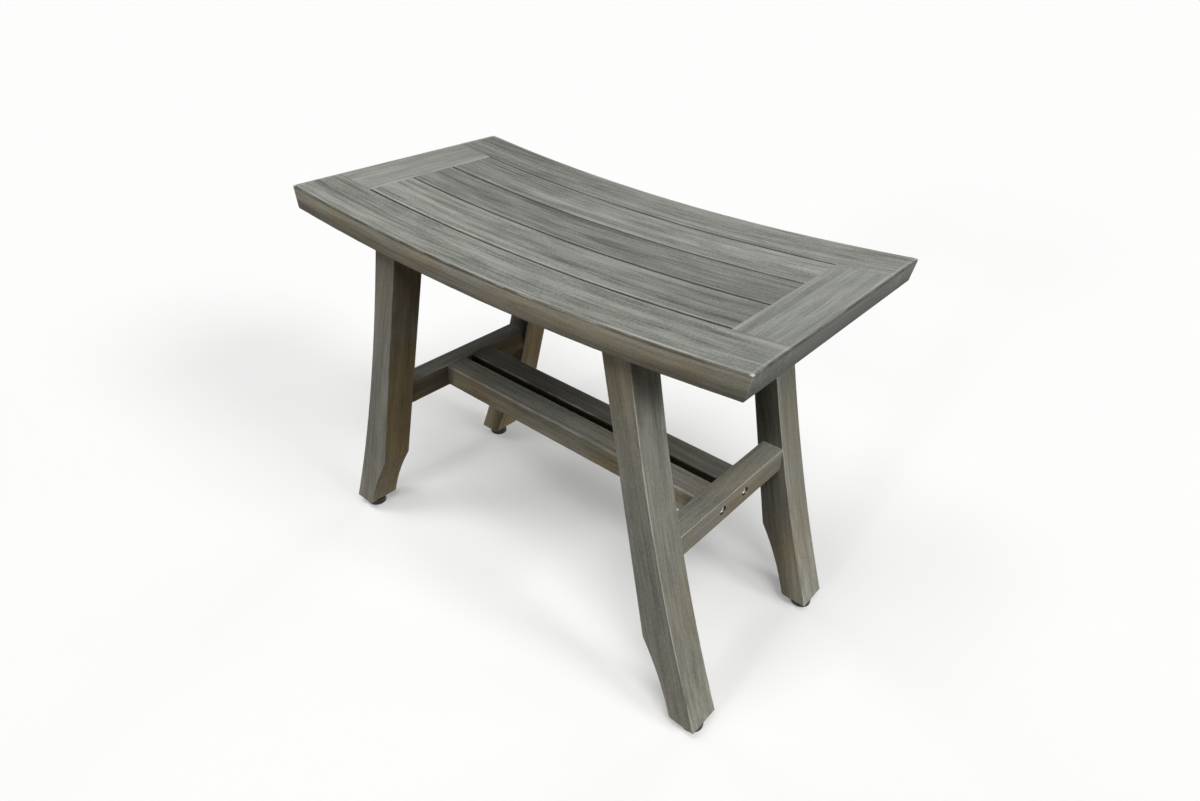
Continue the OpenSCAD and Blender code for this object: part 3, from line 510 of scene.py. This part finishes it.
def mouldedNylon(name):
    # glass-filled nylon, injection moulded: near black, with a fine sparked texture
    look = nylonLook
    material, tree, shader = newMaterial(name)
    point = addNode(tree, "ShaderNodeTexCoord").outputs["Object"]
    grit = addNode(tree, noise, None, {"Vector": point, "Scale": 1 / look["grit"], "Detail": 3.0})
    scuffs = addNode(tree, noise, None, {"Vector": point, "Scale": 1 / look["scuffs"], "Detail": 4.0})
    tint = addNode(tree, mix, colours, {0: scuffs, 6: hexColour(look["colour"]), 7: hexColour(look["worn"])})
    rough = addNode(tree, ramp, None, {"Value": scuffs, **span(0.0, 1.0, *look["roughness"])})
    relief = addNode(tree, "ShaderNodeBump", None, {
        "Strength": 0.3, "Distance": look["relief"], "Height": grit})
    linkFinish(tree, shader, tint, rough, relief)
    return material


dowelLook = {
    "pale": "#cdb088", "dark": "#a98a62",
    "flecks": (0.0022, 0.0006, 2.0, 1.0),   # metres along and across the grain, octaves, share
    "seed": 3.3, "roughness": (0.72, 0.58), "relief": 0.0001,
}


def beechDowel(name, turn):
    # beech, rolled to a round rod: pale tan with short darker flecks
    look = dowelLook
    material, tree, shader = newMaterial(name)
    along = addNode(tree, mapping, None, {
        "Vector": addNode(tree, "ShaderNodeTexCoord").outputs["Object"], "Rotation": turn})
    flecks = grainLayer(tree, along, look["flecks"], look["seed"])
    tint = addNode(tree, mix, colours, {0: flecks, 6: hexColour(look["dark"]), 7: hexColour(look["pale"])})
    rough = addNode(tree, ramp, None, {"Value": flecks, **span(0.0, 1.0, *look["roughness"])})
    relief = addNode(tree, "ShaderNodeBump", None, {
        "Strength": 0.3, "Distance": look["relief"], "Height": flecks})
    linkFinish(tree, shader, tint, rough, relief)
    return material


stainless = turnedMetal("turnedStainlessSteel", metalLook["stainless"], 0.26)
zincPlate = turnedMetal("zincPlatedSteel", metalLook["zinc"], 0.34)
dress(["foot_inserts"], turnedMetal("turnedBrass", metalLook["brass"], 0.30))
dress(["seat_dowels"], beechDowel("beechDowelAcross", alongY))
dress(["shelf_dowels"], beechDowel("beechDowelAlong", alongX))
dress(["leg_dowels"], beechDowel("beechDowelUpright", (0, math.radians(90), 0)))
blackNylon = mouldedNylon("mouldedBlackNylon")
print("metal, nylon and dowels finished")


# kinds that the fasteners' and feet's trees use
cylinder, cone, cube = "GeometryNodeMeshCylinder", "GeometryNodeMeshCone", "GeometryNodeMeshCube"
grid, placing, joining = "GeometryNodeMeshGrid", "GeometryNodeTransform", "GeometryNodeJoinGeometry"
setPosition, onPoints, group = "GeometryNodeSetPosition", "GeometryNodeInstanceOnPoints", "GeometryNodeGroup"
cutting, cutAway = "GeometryNodeMeshBoolean", {"operation": "DIFFERENCE", "solver": "EXACT"}
hexagon = 2 * math.cos(math.radians(30))        # a six-sided bar's flats over its corner radius


def newTree(name, inputs):
    # inputs: socket name to its default, a number or a place
    tree = bpy.data.node_groups.new(name, "GeometryNodeTree")
    tree.interface.new_socket("Geometry", in_out="OUTPUT", socket_type="NodeSocketGeometry")
    for label, value in inputs.items():
        kind = "NodeSocketInt" if isinstance(value, int) else (
            "NodeSocketFloat" if isinstance(value, float) else "NodeSocketVector")
        tree.interface.new_socket(label, in_out="INPUT", socket_type=kind).default_value = value
    return tree, addNode(tree, "NodeGroupInput").outputs


def closeTree(tree, geometry, material):
    # edges sharper than 35 degrees stay crisp, the rest is shaded smooth
    whole = addNode(tree, "GeometryNodeRealizeInstances", None, {"Geometry": geometry})
    smooth = addNode(tree, "GeometryNodeSetShadeSmooth", {"domain": "FACE"}, {
        "Geometry": whole, "Shade Smooth": True})
    crisp = addNode(tree, "GeometryNodeSetShadeSmooth", {"domain": "EDGE"}, {
        "Geometry": smooth, "Shade Smooth": False, "Selection": addNode(
            tree, "FunctionNodeCompare", "GREATER_THAN", {
                0: addNode(tree, "GeometryNodeInputMeshEdgeAngle"), 1: math.radians(35)})})
    addNode(tree, "NodeGroupOutput", None, {0: addNode(
        tree, "GeometryNodeSetMaterial", None, {"Geometry": crisp, "Material": material})})
    return tree


def settle(name, tree, values, body, slot, *nodes):
    # the tree's result as a plain mesh that stands for the CAD nodes
    source = bpy.data.objects.new(name + "Source", bpy.data.meshes.new(name + "Source"))
    bpy.context.scene.collection.objects.link(source)
    modifier = source.modifiers.new("build", "NODES")
    modifier.node_group = tree
    for item in tree.interface.items_tree:
        if item.in_out == "INPUT" and item.name in values:
            modifier[item.identifier] = values[item.name]
    view = bpy.context.evaluated_depsgraph_get()
    mesh = bpy.data.meshes.new_from_object(source.evaluated_get(view), depsgraph=view)
    source.modifiers.remove(modifier)
    bpy.data.objects.remove(source)
    mesh.name = name
    mesh.materials.pop(index=0)  # the primitives' empty slot
    piece = bpy.data.objects.new(name, mesh)
    bpy.context.scene.collection.objects.link(piece)
    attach(piece, body)
    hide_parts(*nodes)


def rodTree():
    # a rod along Z from 0, with a V thread cut in after a plain stretch and a tapered tip
    tree, given = newTree("threadedRod", {
        "Length": 0.03, "Diameter": 0.006, "Pitch": 0.001, "Thread Depth": 0.0006,
        "Plain": 0.0, "Tip": 0.001, "Tip Share": 0.8, "Steps per Turn": 6, "Sides": 24})
    radius = addNode(tree, maths, "MULTIPLY", {0: given["Diameter"], 1: 0.5})
    rings = addNode(tree, maths, "MULTIPLY", {1: given["Steps per Turn"], 0: addNode(
        tree, maths, "DIVIDE", {0: given["Length"], 1: given["Pitch"]})})
    rod = addNode(tree, placing, None, {
        "Geometry": addNode(tree, cylinder, None, {
            "Vertices": given["Sides"], "Side Segments": rings, "Depth": given["Length"], "Radius": radius}),
        "Translation": addNode(tree, combine, None, {"Z": addNode(
            tree, maths, "MULTIPLY", {0: given["Length"], 1: 0.5})})})
    place = addNode(tree, "GeometryNodeInputPosition")
    at = addNode(tree, split, None, {0: place}).outputs
    turns = addNode(tree, maths, "DIVIDE", {1: 2 * math.pi, 0: addNode(
        tree, maths, "ARCTAN2", {0: at["Y"], 1: at["X"]})})
    climb = addNode(tree, maths, "SUBTRACT", {0: turns, 1: addNode(
        tree, maths, "DIVIDE", {0: at["Z"], 1: given["Pitch"]})})
    groove = addNode(tree, maths, "MULTIPLY", {1: 2.0, 0: addNode(
        tree, maths, "PINGPONG", {0: climb, 1: 0.5})})  # 0 on a crest, 1 in the root
    started = addNode(tree, ramp, None, {
        "Value": at["Z"], "From Min": given["Plain"],
        "From Max": addNode(tree, maths, "ADD", {0: given["Plain"], 1: given["Pitch"]})})
    deep = addNode(tree, maths, "MULTIPLY", {1: given["Thread Depth"], 0: addNode(
        tree, maths, "MULTIPLY", {0: groove, 1: started})})
    taper = addNode(tree, ramp, None, {
        "Value": at["Z"], "From Max": given["Length"], "To Min": 1.0, "To Max": given["Tip Share"],
        "From Min": addNode(tree, maths, "SUBTRACT", {0: given["Length"], 1: given["Tip"]})})
    share = addNode(tree, maths, "MULTIPLY", {0: taper, 1: addNode(tree, maths, "SUBTRACT", {
        0: 1.0, 1: addNode(tree, maths, "DIVIDE", {0: deep, 1: radius})})})
    threaded = addNode(tree, setPosition, None, {"Geometry": rod, "Position": addNode(
        tree, vectors, "MULTIPLY", {
            0: place, 1: addNode(tree, combine, None, {"X": share, "Y": share, "Z": 1.0})})})
    addNode(tree, "NodeGroupOutput", None, {0: threaded})
    return tree


threadedRod = rodTree()


def roundedDisc(tree, sides, segments, radius, height, low, edge):
    # a disc from low upwards whose two rims are rounded to edge
    disc = addNode(tree, cylinder, None, {
        "Vertices": sides, "Side Segments": segments, "Radius": radius, "Depth": height})
    place = addNode(tree, "GeometryNodeInputPosition")
    z = addNode(tree, split, None, {0: place}).outputs["Z"]
    fromRim = addNode(tree, maths, "SUBTRACT", {
        0: addNode(tree, maths, "MULTIPLY", {0: height, 1: 0.5}),
        1: addNode(tree, maths, "ABSOLUTE", {0: z})})
    share = addNode(tree, maths, {"operation": "DIVIDE", "use_clamp": True}, {
        0: addNode(tree, maths, "SUBTRACT", {0: edge, 1: fromRim}), 1: edge})
    square = addNode(tree, maths, "MULTIPLY", {0: share, 1: share})
    dip = addNode(tree, maths, "SUBTRACT", {0: 1.0, 1: addNode(tree, maths, "SQRT", {
        0: addNode(tree, maths, "SUBTRACT", {0: 1.0, 1: square})})})
    scale = addNode(tree, maths, "SUBTRACT", {0: 1.0, 1: addNode(tree, maths, "DIVIDE", {
        0: addNode(tree, maths, "MULTIPLY", {0: dip, 1: edge}), 1: radius})})
    return addNode(tree, setPosition, None, {"Geometry": disc, "Position": addNode(
        tree, vectors, "MULTIPLY_ADD", {
            0: place, 1: addNode(tree, combine, None, {"X": scale, "Y": scale, "Z": 1.0}),
            2: addNode(tree, combine, None, {"Z": addNode(
                tree, maths, "MULTIPLY_ADD", {0: height, 1: 0.5, 2: low})})})})


def grippedRim(tree, disc, count, depth, radius, middle, reach):
    # shallow grooves round a disc's rim, that end short of its two edges
    place = addNode(tree, "GeometryNodeInputPosition")
    at = addNode(tree, split, None, {0: place}).outputs
    wave = addNode(tree, maths, "SINE", {0: addNode(tree, maths, "MULTIPLY", {
        0: addNode(tree, maths, "ARCTAN2", {0: at["Y"], 1: at["X"]}), 1: count})})
    fadeFrom = 0.75 * reach
    band = addNode(tree, ramp, eased, {**span(reach, fadeFrom), "Value": addNode(tree, maths, "ABSOLUTE", {
        0: addNode(tree, maths, "SUBTRACT", {0: at["Z"], 1: middle})})})
    groove = addNode(tree, maths, "MULTIPLY", {0: band, 1: addNode(
        tree, maths, "MULTIPLY_ADD", {0: wave, 1: 0.5, 2: 0.5})})
    bite = addNode(tree, maths, "SUBTRACT", {0: 1.0, 1: addNode(tree, maths, "MULTIPLY", {
        0: groove, 1: addNode(tree, maths, "DIVIDE", {0: depth, 1: radius})})})
    return addNode(tree, setPosition, None, {"Geometry": disc, "Position": addNode(
        tree, vectors, "MULTIPLY", {
            0: place, 1: addNode(tree, combine, None, {"X": bite, "Y": bite, "Z": 1.0})})})


boltSizes = {
    "Head Diameter": 0.010, "Head Height": 0.006, "Socket Flats": 0.005, "Socket Depth": 0.003,
    "Shank Diameter": 0.006, "Shank Length": 0.060, "Thread Length": 0.024, "Pitch": 0.001,
    "Knurls": 36, "Knurl Depth": 0.00015,
    "Spread": 2 * shelfLook["boltY"], "Height": shelfLook["boltZ"], "Seed": 4,
}
boltSizes["Seat X"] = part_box("shelf_bolts")[1].x - boltSizes["Head Height"]


def boltTree():
    # socket-head cap screws: a knurled head with a six-sided socket on a part-threaded shank
    tree, given = newTree("shelfBolts", boltSizes)
    radius = addNode(tree, maths, "MULTIPLY", {0: given["Head Diameter"], 1: 0.5})
    topZ = addNode(tree, maths, "MULTIPLY", {0: given["Head Height"], 1: -1.0})
    sides = addNode(tree, maths, "MULTIPLY", {0: given["Knurls"], 1: 4.0})
    head = grippedRim(
        tree, roundedDisc(tree, sides, 24, radius, given["Head Height"], topZ, edge=0.0006),
        given["Knurls"], given["Knurl Depth"], radius,
        addNode(tree, maths, "MULTIPLY", {0: topZ, 1: 0.5}), reach=0.0024)
    corner = addNode(tree, maths, "DIVIDE", {0: given["Socket Flats"], 1: hexagon})
    socket = addNode(tree, cylinder, None, {
        "Vertices": 6, "Radius": corner,
        "Depth": addNode(tree, maths, "MULTIPLY", {0: given["Socket Depth"], 1: 2.0})})
    # a cone breaks the socket's edge: its radii and its depth are shares of the socket's corner radius
    mouthTop, mouthBottom, mouthDepth = (
        addNode(tree, maths, "MULTIPLY", {0: corner, 1: part}) for part in (0.6, 1.35, 0.55))
    mouth = addNode(tree, cone, None, {
        "Vertices": 48, "Radius Top": mouthTop, "Radius Bottom": mouthBottom, "Depth": mouthDepth})
    top = addNode(tree, combine, None, {"Z": topZ})
    drilled = addNode(tree, cutting, cutAway, {"Mesh 1": head, "Mesh 2": [
        addNode(tree, placing, None, {"Geometry": socket, "Translation": top}),
        addNode(tree, placing, None, {"Geometry": mouth, "Translation": addNode(
            tree, vectors, "SUBTRACT", {0: top, 1: (0, 0, 0.0003)})})]})
    shank = addNode(tree, group, {"node_tree": threadedRod}, {
        "Length": given["Shank Length"], "Diameter": given["Shank Diameter"], "Pitch": given["Pitch"],
        "Thread Depth": 0.0006, "Tip": 0.001, "Tip Share": 0.8, "Steps per Turn": 4, "Sides": 20,
        "Plain": addNode(tree, maths, "SUBTRACT", {0: given["Shank Length"], 1: given["Thread Length"]})})
    bolt = addNode(tree, joining, None, {0: [drilled, shank]})
    ends = [addNode(tree, combine, None, {"X": given["Seat X"], "Z": given["Height"], "Y": addNode(
        tree, maths, "MULTIPLY", {0: given["Spread"], 1: side})}) for side in (-0.5, 0.5)]
    pair = addNode(tree, "GeometryNodeMeshLine", {"mode": "END_POINTS"}, {
        "Count": 2, "Start Location": ends[0], "Offset": ends[1]})
    spots = addNode(tree, joining, None, {0: [pair, addNode(
        tree, placing, None, {"Geometry": pair, "Rotation": (0, 0, math.pi)})]})
    right = addNode(tree, split, None, {0: addNode(tree, "GeometryNodeInputPosition")}).outputs["X"]
    aim = addNode(tree, combine, None, {"Y": addNode(tree, maths, "MULTIPLY", {
        0: addNode(tree, maths, "SIGN", {0: right}), 1: -math.pi / 2})})
    placed = addNode(tree, onPoints, None, {"Points": spots, "Instance": bolt, "Rotation": aim})
    spin = addNode(tree, "FunctionNodeRandomValue", {"data_type": "FLOAT"}, {
        2: 0.0, 3: math.pi / 3, "Seed": given["Seed"]})
    return closeTree(tree, addNode(tree, "GeometryNodeRotateInstances", None, {
        "Instances": placed, "Rotation": addNode(tree, combine, None, {"Z": spin})}), stainless)


screwSizes = {
    "Head Diameter": 0.009, "Head Height": 0.00225, "Diameter": 0.0045, "Length": 0.042, "Pitch": 0.0022,
    "Plain": 0.015, "Recess": 0.0044, "Recess Width": 0.001, "Recess Depth": 0.0018,
    "Spread Y": 2 * seatShape["pitch"], "Height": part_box("seat_screws")[0].z, "Seed": 7,
}
screwSizes["Spread X"] = 2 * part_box("seat_screws")[1].x - screwSizes["Head Diameter"]


def screwTree():
    # countersunk wood screws with a cross recess, driven up through the cross rails
    tree, given = newTree("seatScrews", screwSizes)
    low = addNode(tree, cone, None, {
        "Vertices": 48, "Side Segments": 2, "Depth": given["Head Height"],
        "Radius Bottom": addNode(tree, maths, "MULTIPLY", {0: given["Head Diameter"], 1: 0.5}),
        "Radius Top": addNode(tree, maths, "MULTIPLY", {0: given["Diameter"], 1: 0.45})})
    bar = addNode(tree, cube, None, {"Size": addNode(tree, combine, None, {
        "X": given["Recess"], "Y": given["Recess Width"],
        "Z": addNode(tree, maths, "MULTIPLY", {0: given["Recess Depth"], 1: 2.0})})})
    head = addNode(tree, cutting, cutAway, {"Mesh 1": low, "Mesh 2": [bar, addNode(
        tree, placing, None, {"Geometry": bar, "Rotation": (0, 0, math.pi / 2)})]})
    shank = addNode(tree, group, {"node_tree": threadedRod}, {
        "Length": addNode(tree, maths, "SUBTRACT", {0: given["Length"], 1: given["Head Height"]}),
        "Diameter": given["Diameter"], "Pitch": given["Pitch"], "Thread Depth": 0.0009,
        "Plain": given["Plain"], "Tip": 0.008, "Tip Share": 0.06, "Steps per Turn": 8, "Sides": 20})
    screw = addNode(tree, joining, None, {0: [head, addNode(tree, placing, None, {
        "Geometry": shank, "Translation": addNode(tree, combine, None, {"Z": given["Head Height"]})})]})
    spots = addNode(tree, placing, None, {
        "Geometry": addNode(tree, grid, None, {
            "Size X": given["Spread X"], "Size Y": given["Spread Y"], "Vertices X": 2, "Vertices Y": 3}),
        "Translation": addNode(tree, combine, None, {"Z": given["Height"]})})
    spin = addNode(tree, "FunctionNodeRandomValue", {"data_type": "FLOAT"}, {
        2: 0.0, 3: math.pi / 2, "Seed": given["Seed"]})
    placed = addNode(tree, onPoints, None, {
        "Points": spots, "Instance": screw, "Rotation": addNode(tree, combine, None, {"Z": spin})})
    return closeTree(tree, placed, zincPlate)


nutSizes = {
    "Diameter": 0.010, "Length": 0.017, "Bore": 0.0061, "Slot Width": 0.0014, "Slot Depth": 0.0016,
    "Spread Y": 2 * shelfLook["boltY"], "Height": shelfLook["boltZ"],
}
nutSizes["Spread X"] = 2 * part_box("shelf_barrel_nuts")[1].x - nutSizes["Diameter"]


def nutTree():
    # barrel nuts: a rod across each bolt, with a cross hole and a slot in its lower end
    tree, given = newTree("barrelNuts", nutSizes)
    half = addNode(tree, maths, "MULTIPLY", {0: given["Length"], 1: -0.5})
    body = roundedDisc(tree, 48, 40, addNode(tree, maths, "MULTIPLY", {0: given["Diameter"], 1: 0.5}),
                       given["Length"], half, edge=0.0006)
    bore = addNode(tree, cylinder, None, {
        "Vertices": 32, "Depth": 0.03,
        "Radius": addNode(tree, maths, "MULTIPLY", {0: given["Bore"], 1: 0.5})})
    slot = addNode(tree, cube, None, {"Size": addNode(tree, combine, None, {
        "X": 0.03, "Y": given["Slot Width"],
        "Z": addNode(tree, maths, "MULTIPLY", {0: given["Slot Depth"], 1: 2.0})})})
    nut = addNode(tree, cutting, cutAway, {"Mesh 1": body, "Mesh 2": [
        addNode(tree, placing, None, {"Geometry": bore, "Rotation": (0, math.pi / 2, 0)}),
        addNode(tree, placing, None, {
            "Geometry": slot, "Translation": addNode(tree, combine, None, {"Z": half})})]})
    spots = addNode(tree, placing, None, {
        "Geometry": addNode(tree, grid, None, {
            "Size X": given["Spread X"], "Size Y": given["Spread Y"], "Vertices X": 2, "Vertices Y": 2}),
        "Translation": addNode(tree, combine, None, {"Z": given["Height"]})})
    return closeTree(tree, addNode(tree, onPoints, None, {"Points": spots, "Instance": nut}), zincPlate)


studSizes = {
    "Diameter": 0.006, "Length": 0.0305, "Pitch": 0.001, "Thread Depth": 0.0006,
    "Place": (0.0, 0.0, 0.0),
}


def studTree():
    # the foot's threaded stud
    tree, given = newTree("footStud", studSizes)
    rod = addNode(tree, group, {"node_tree": threadedRod}, {
        "Length": given["Length"], "Diameter": given["Diameter"], "Pitch": given["Pitch"],
        "Thread Depth": given["Thread Depth"], "Plain": -0.001,       # threaded from its very end
        "Tip": 0.0008, "Tip Share": 0.74, "Steps per Turn": 6, "Sides": 28})
    placed = addNode(tree, placing, None, {"Geometry": rod, "Translation": given["Place"]})
    return closeTree(tree, placed, zincPlate)


padSizes = {
    "Diameter": 0.0242, "Height": 0.0085, "Rim Round": 0.0012, "Grips": 30, "Grip Depth": 0.0004,
    "Collar Flats": 0.013, "Collar Top": 0.0143, "Place": (0.0, 0.0, 0.0),
}


def padTree():
    # the foot's moulded pad: a disc with shallow grips round its rim under a six-sided collar
    tree, given = newTree("footPad", padSizes)
    radius = addNode(tree, maths, "MULTIPLY", {0: given["Diameter"], 1: 0.5})
    middle = addNode(tree, maths, "MULTIPLY", {0: given["Height"], 1: 0.5})
    sides = addNode(tree, maths, "MULTIPLY", {0: given["Grips"], 1: 6.0})
    disc = grippedRim(
        tree, roundedDisc(tree, sides, 36, radius, given["Height"], 0.0, given["Rim Round"]),
        given["Grips"], given["Grip Depth"], radius, middle, reach=0.0030)
    collar = roundedDisc(tree, 6, 24, addNode(tree, maths, "DIVIDE", {0: given["Collar Flats"], 1: hexagon}),
                         addNode(tree, maths, "SUBTRACT", {0: given["Collar Top"], 1: middle}), middle,
                         edge=0.0007)
    whole = addNode(tree, joining, None, {0: [disc, collar]})
    return closeTree(
        tree, addNode(tree, placing, None, {"Geometry": whole, "Translation": given["Place"]}), blackNylon)


settle("shelfBolts", boltTree(), boltSizes, "bench", "steel", "shelf_bolts")
settle("seatScrews", screwTree(), screwSizes, "bench", "steel", "seat_screws")
settle("barrelNuts", nutTree(), nutSizes, "bench", "steel", "shelf_barrel_nuts")
studs, pads = studTree(), padTree()
corners = ("front_left", "front_right", "back_left", "back_right")
for corner in corners:
    x, y, _ = centreOf("foot_stud_" + corner)
    settle("footStud_" + corner, studs, {**studSizes, "Place": (x, y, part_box("foot_stud_" + corner)[0].z)},
           "foot_" + corner, "steel", "foot_stud_" + corner)
    settle("footPad_" + corner, pads, {**padSizes, "Place": (x, y, 0.0)},
           "foot_" + corner, "black_plastic", "foot_pad_" + corner)
print("fasteners and feet made")


cameraView = {
    "place": (0.532512, -0.616386, 0.758754),
    "turn": -39.12, "tilt": -32.741, "roll": 2.383,   # degrees
    "lens": 24.458, "sensor": 36.0,                   # millimetres
}


def placeCamera(v):
    turn, tilt, roll = (math.radians(v[k]) for k in ("turn", "tilt", "roll"))
    ahead = Vector((math.sin(turn) * math.cos(tilt), math.cos(turn) * math.cos(tilt), math.sin(tilt)))
    side = ahead.cross(Vector((0, 0, 1))).normalized()
    over = side.cross(ahead)
    right = side * math.cos(roll) + over * math.sin(roll)
    top = over * math.cos(roll) - side * math.sin(roll)
    data = bpy.data.cameras.new("photoCamera")
    data.lens, data.sensor_width = v["lens"], v["sensor"]
    data.clip_start, data.clip_end = 0.01, 50
    camera = bpy.data.objects.new("photoCamera", data)
    bpy.context.scene.collection.objects.link(camera)
    camera.matrix_world = Matrix.LocRotScale(
        Vector(v["place"]), Matrix((right, top, -ahead)).transposed().to_quaternion(), None)
    bpy.context.scene.camera = camera


placeCamera(cameraView)

softLights = {
    # degrees round from the front towards +X, degrees up, W/m2, and degrees that it spreads over
    "keyLight": (46, 56, 1.40, 26),
    "sideLight": (93, 34, 1.25, 18),
    "topLight": (5, 75, 0.80, 20),
    "frontLight": (-30, 55, 0.45, 20),
    "lowLight": (0, 15, 0.65, 8),
    "rimLight": (120, 15, 0.25, 20),
    "backLight": (180, 4, 1.80, 30),
    "leftLight": (-95, 4, 1.50, 30),
}
for name, (turn, height, power, spread) in softLights.items():
    lamp = bpy.data.lights.new(name, "SUN")
    lamp.energy, lamp.angle = power, math.radians(spread)
    light = bpy.data.objects.new(name, lamp)
    light.rotation_euler = (math.radians(90 - height), 0, math.radians(turn))
    bpy.context.scene.collection.objects.link(light)

studio = {
    "roomLight": 0.0,           # how bright the room itself is to the object
    "backdrop": "#ffffff",
    "floorColour": "#d9d9d8", "floorGlow": 0.20,        # as the camera sees it
    "floorBounce": "#4f4335",   # what it throws back at the object
    "floorSize": 60.0,          # metres
}


def seenFactor(tree):
    # 1 for what the camera sees, directly or in gloss and glass, 0 for what lights the object
    path = addNode(tree, "ShaderNodeLightPath").outputs
    direct = addNode(tree, maths, "MAXIMUM", {0: path["Is Camera Ray"], 1: path["Is Glossy Ray"]})
    return addNode(tree, maths, "MAXIMUM", {0: direct, 1: path["Is Transmission Ray"]})


world = bpy.data.worlds.new("studioRoom")
bpy.context.scene.world = world
world.use_nodes = True
air = world.node_tree
air.nodes.clear()
room, shown = (addNode(air, "ShaderNodeBackground", None, {
    "Color": hexColour(studio["backdrop"]), "Strength": power}) for power in (studio["roomLight"], 1.0))
addNode(air, "ShaderNodeOutputWorld", None, {"Surface": addNode(
    air, "ShaderNodeMixShader", None, {0: seenFactor(air), 1: room, 2: shown})})

half = studio["floorSize"] / 2
floorMesh = bpy.data.meshes.new("studioFloor")
floorMesh.from_pydata([(-half, -half, 0), (half, -half, 0), (half, half, 0), (-half, half, 0)], [],
                      [(0, 1, 2, 3)])
studioFloor = bpy.data.objects.new("studioFloor", floorMesh)
bpy.context.scene.collection.objects.link(studioFloor)
floorPaint = bpy.data.materials.new("matteFloorPaint")
floorPaint.use_nodes = True
coat = floorPaint.node_tree
coat.nodes.clear()
seen = seenFactor(coat)
paint = addNode(coat, "ShaderNodeBsdfDiffuse", None, {"Color": addNode(coat, mix, colours, {
    0: seen, 6: hexColour(studio["floorBounce"]), 7: hexColour(studio["floorColour"])})})
glow = addNode(coat, "ShaderNodeEmission", None, {
    "Strength": addNode(coat, maths, "MULTIPLY", {0: seen, 1: studio["floorGlow"]})})
addNode(coat, "ShaderNodeOutputMaterial", None, {
    "Surface": addNode(coat, "ShaderNodeAddShader", None, {0: paint, 1: glow})})
floorMesh.materials.append(floorPaint)
for corner in corners:
    # the floor lies under whichever foot is screwed out furthest
    rest = studioFloor.constraints.new("FLOOR")
    rest.target, rest.floor_location = frame["bodies"]["foot_" + corner], "FLOOR_NEGATIVE_Z"
bpy.context.scene.view_settings.view_transform = "Standard"
print("studio ready")
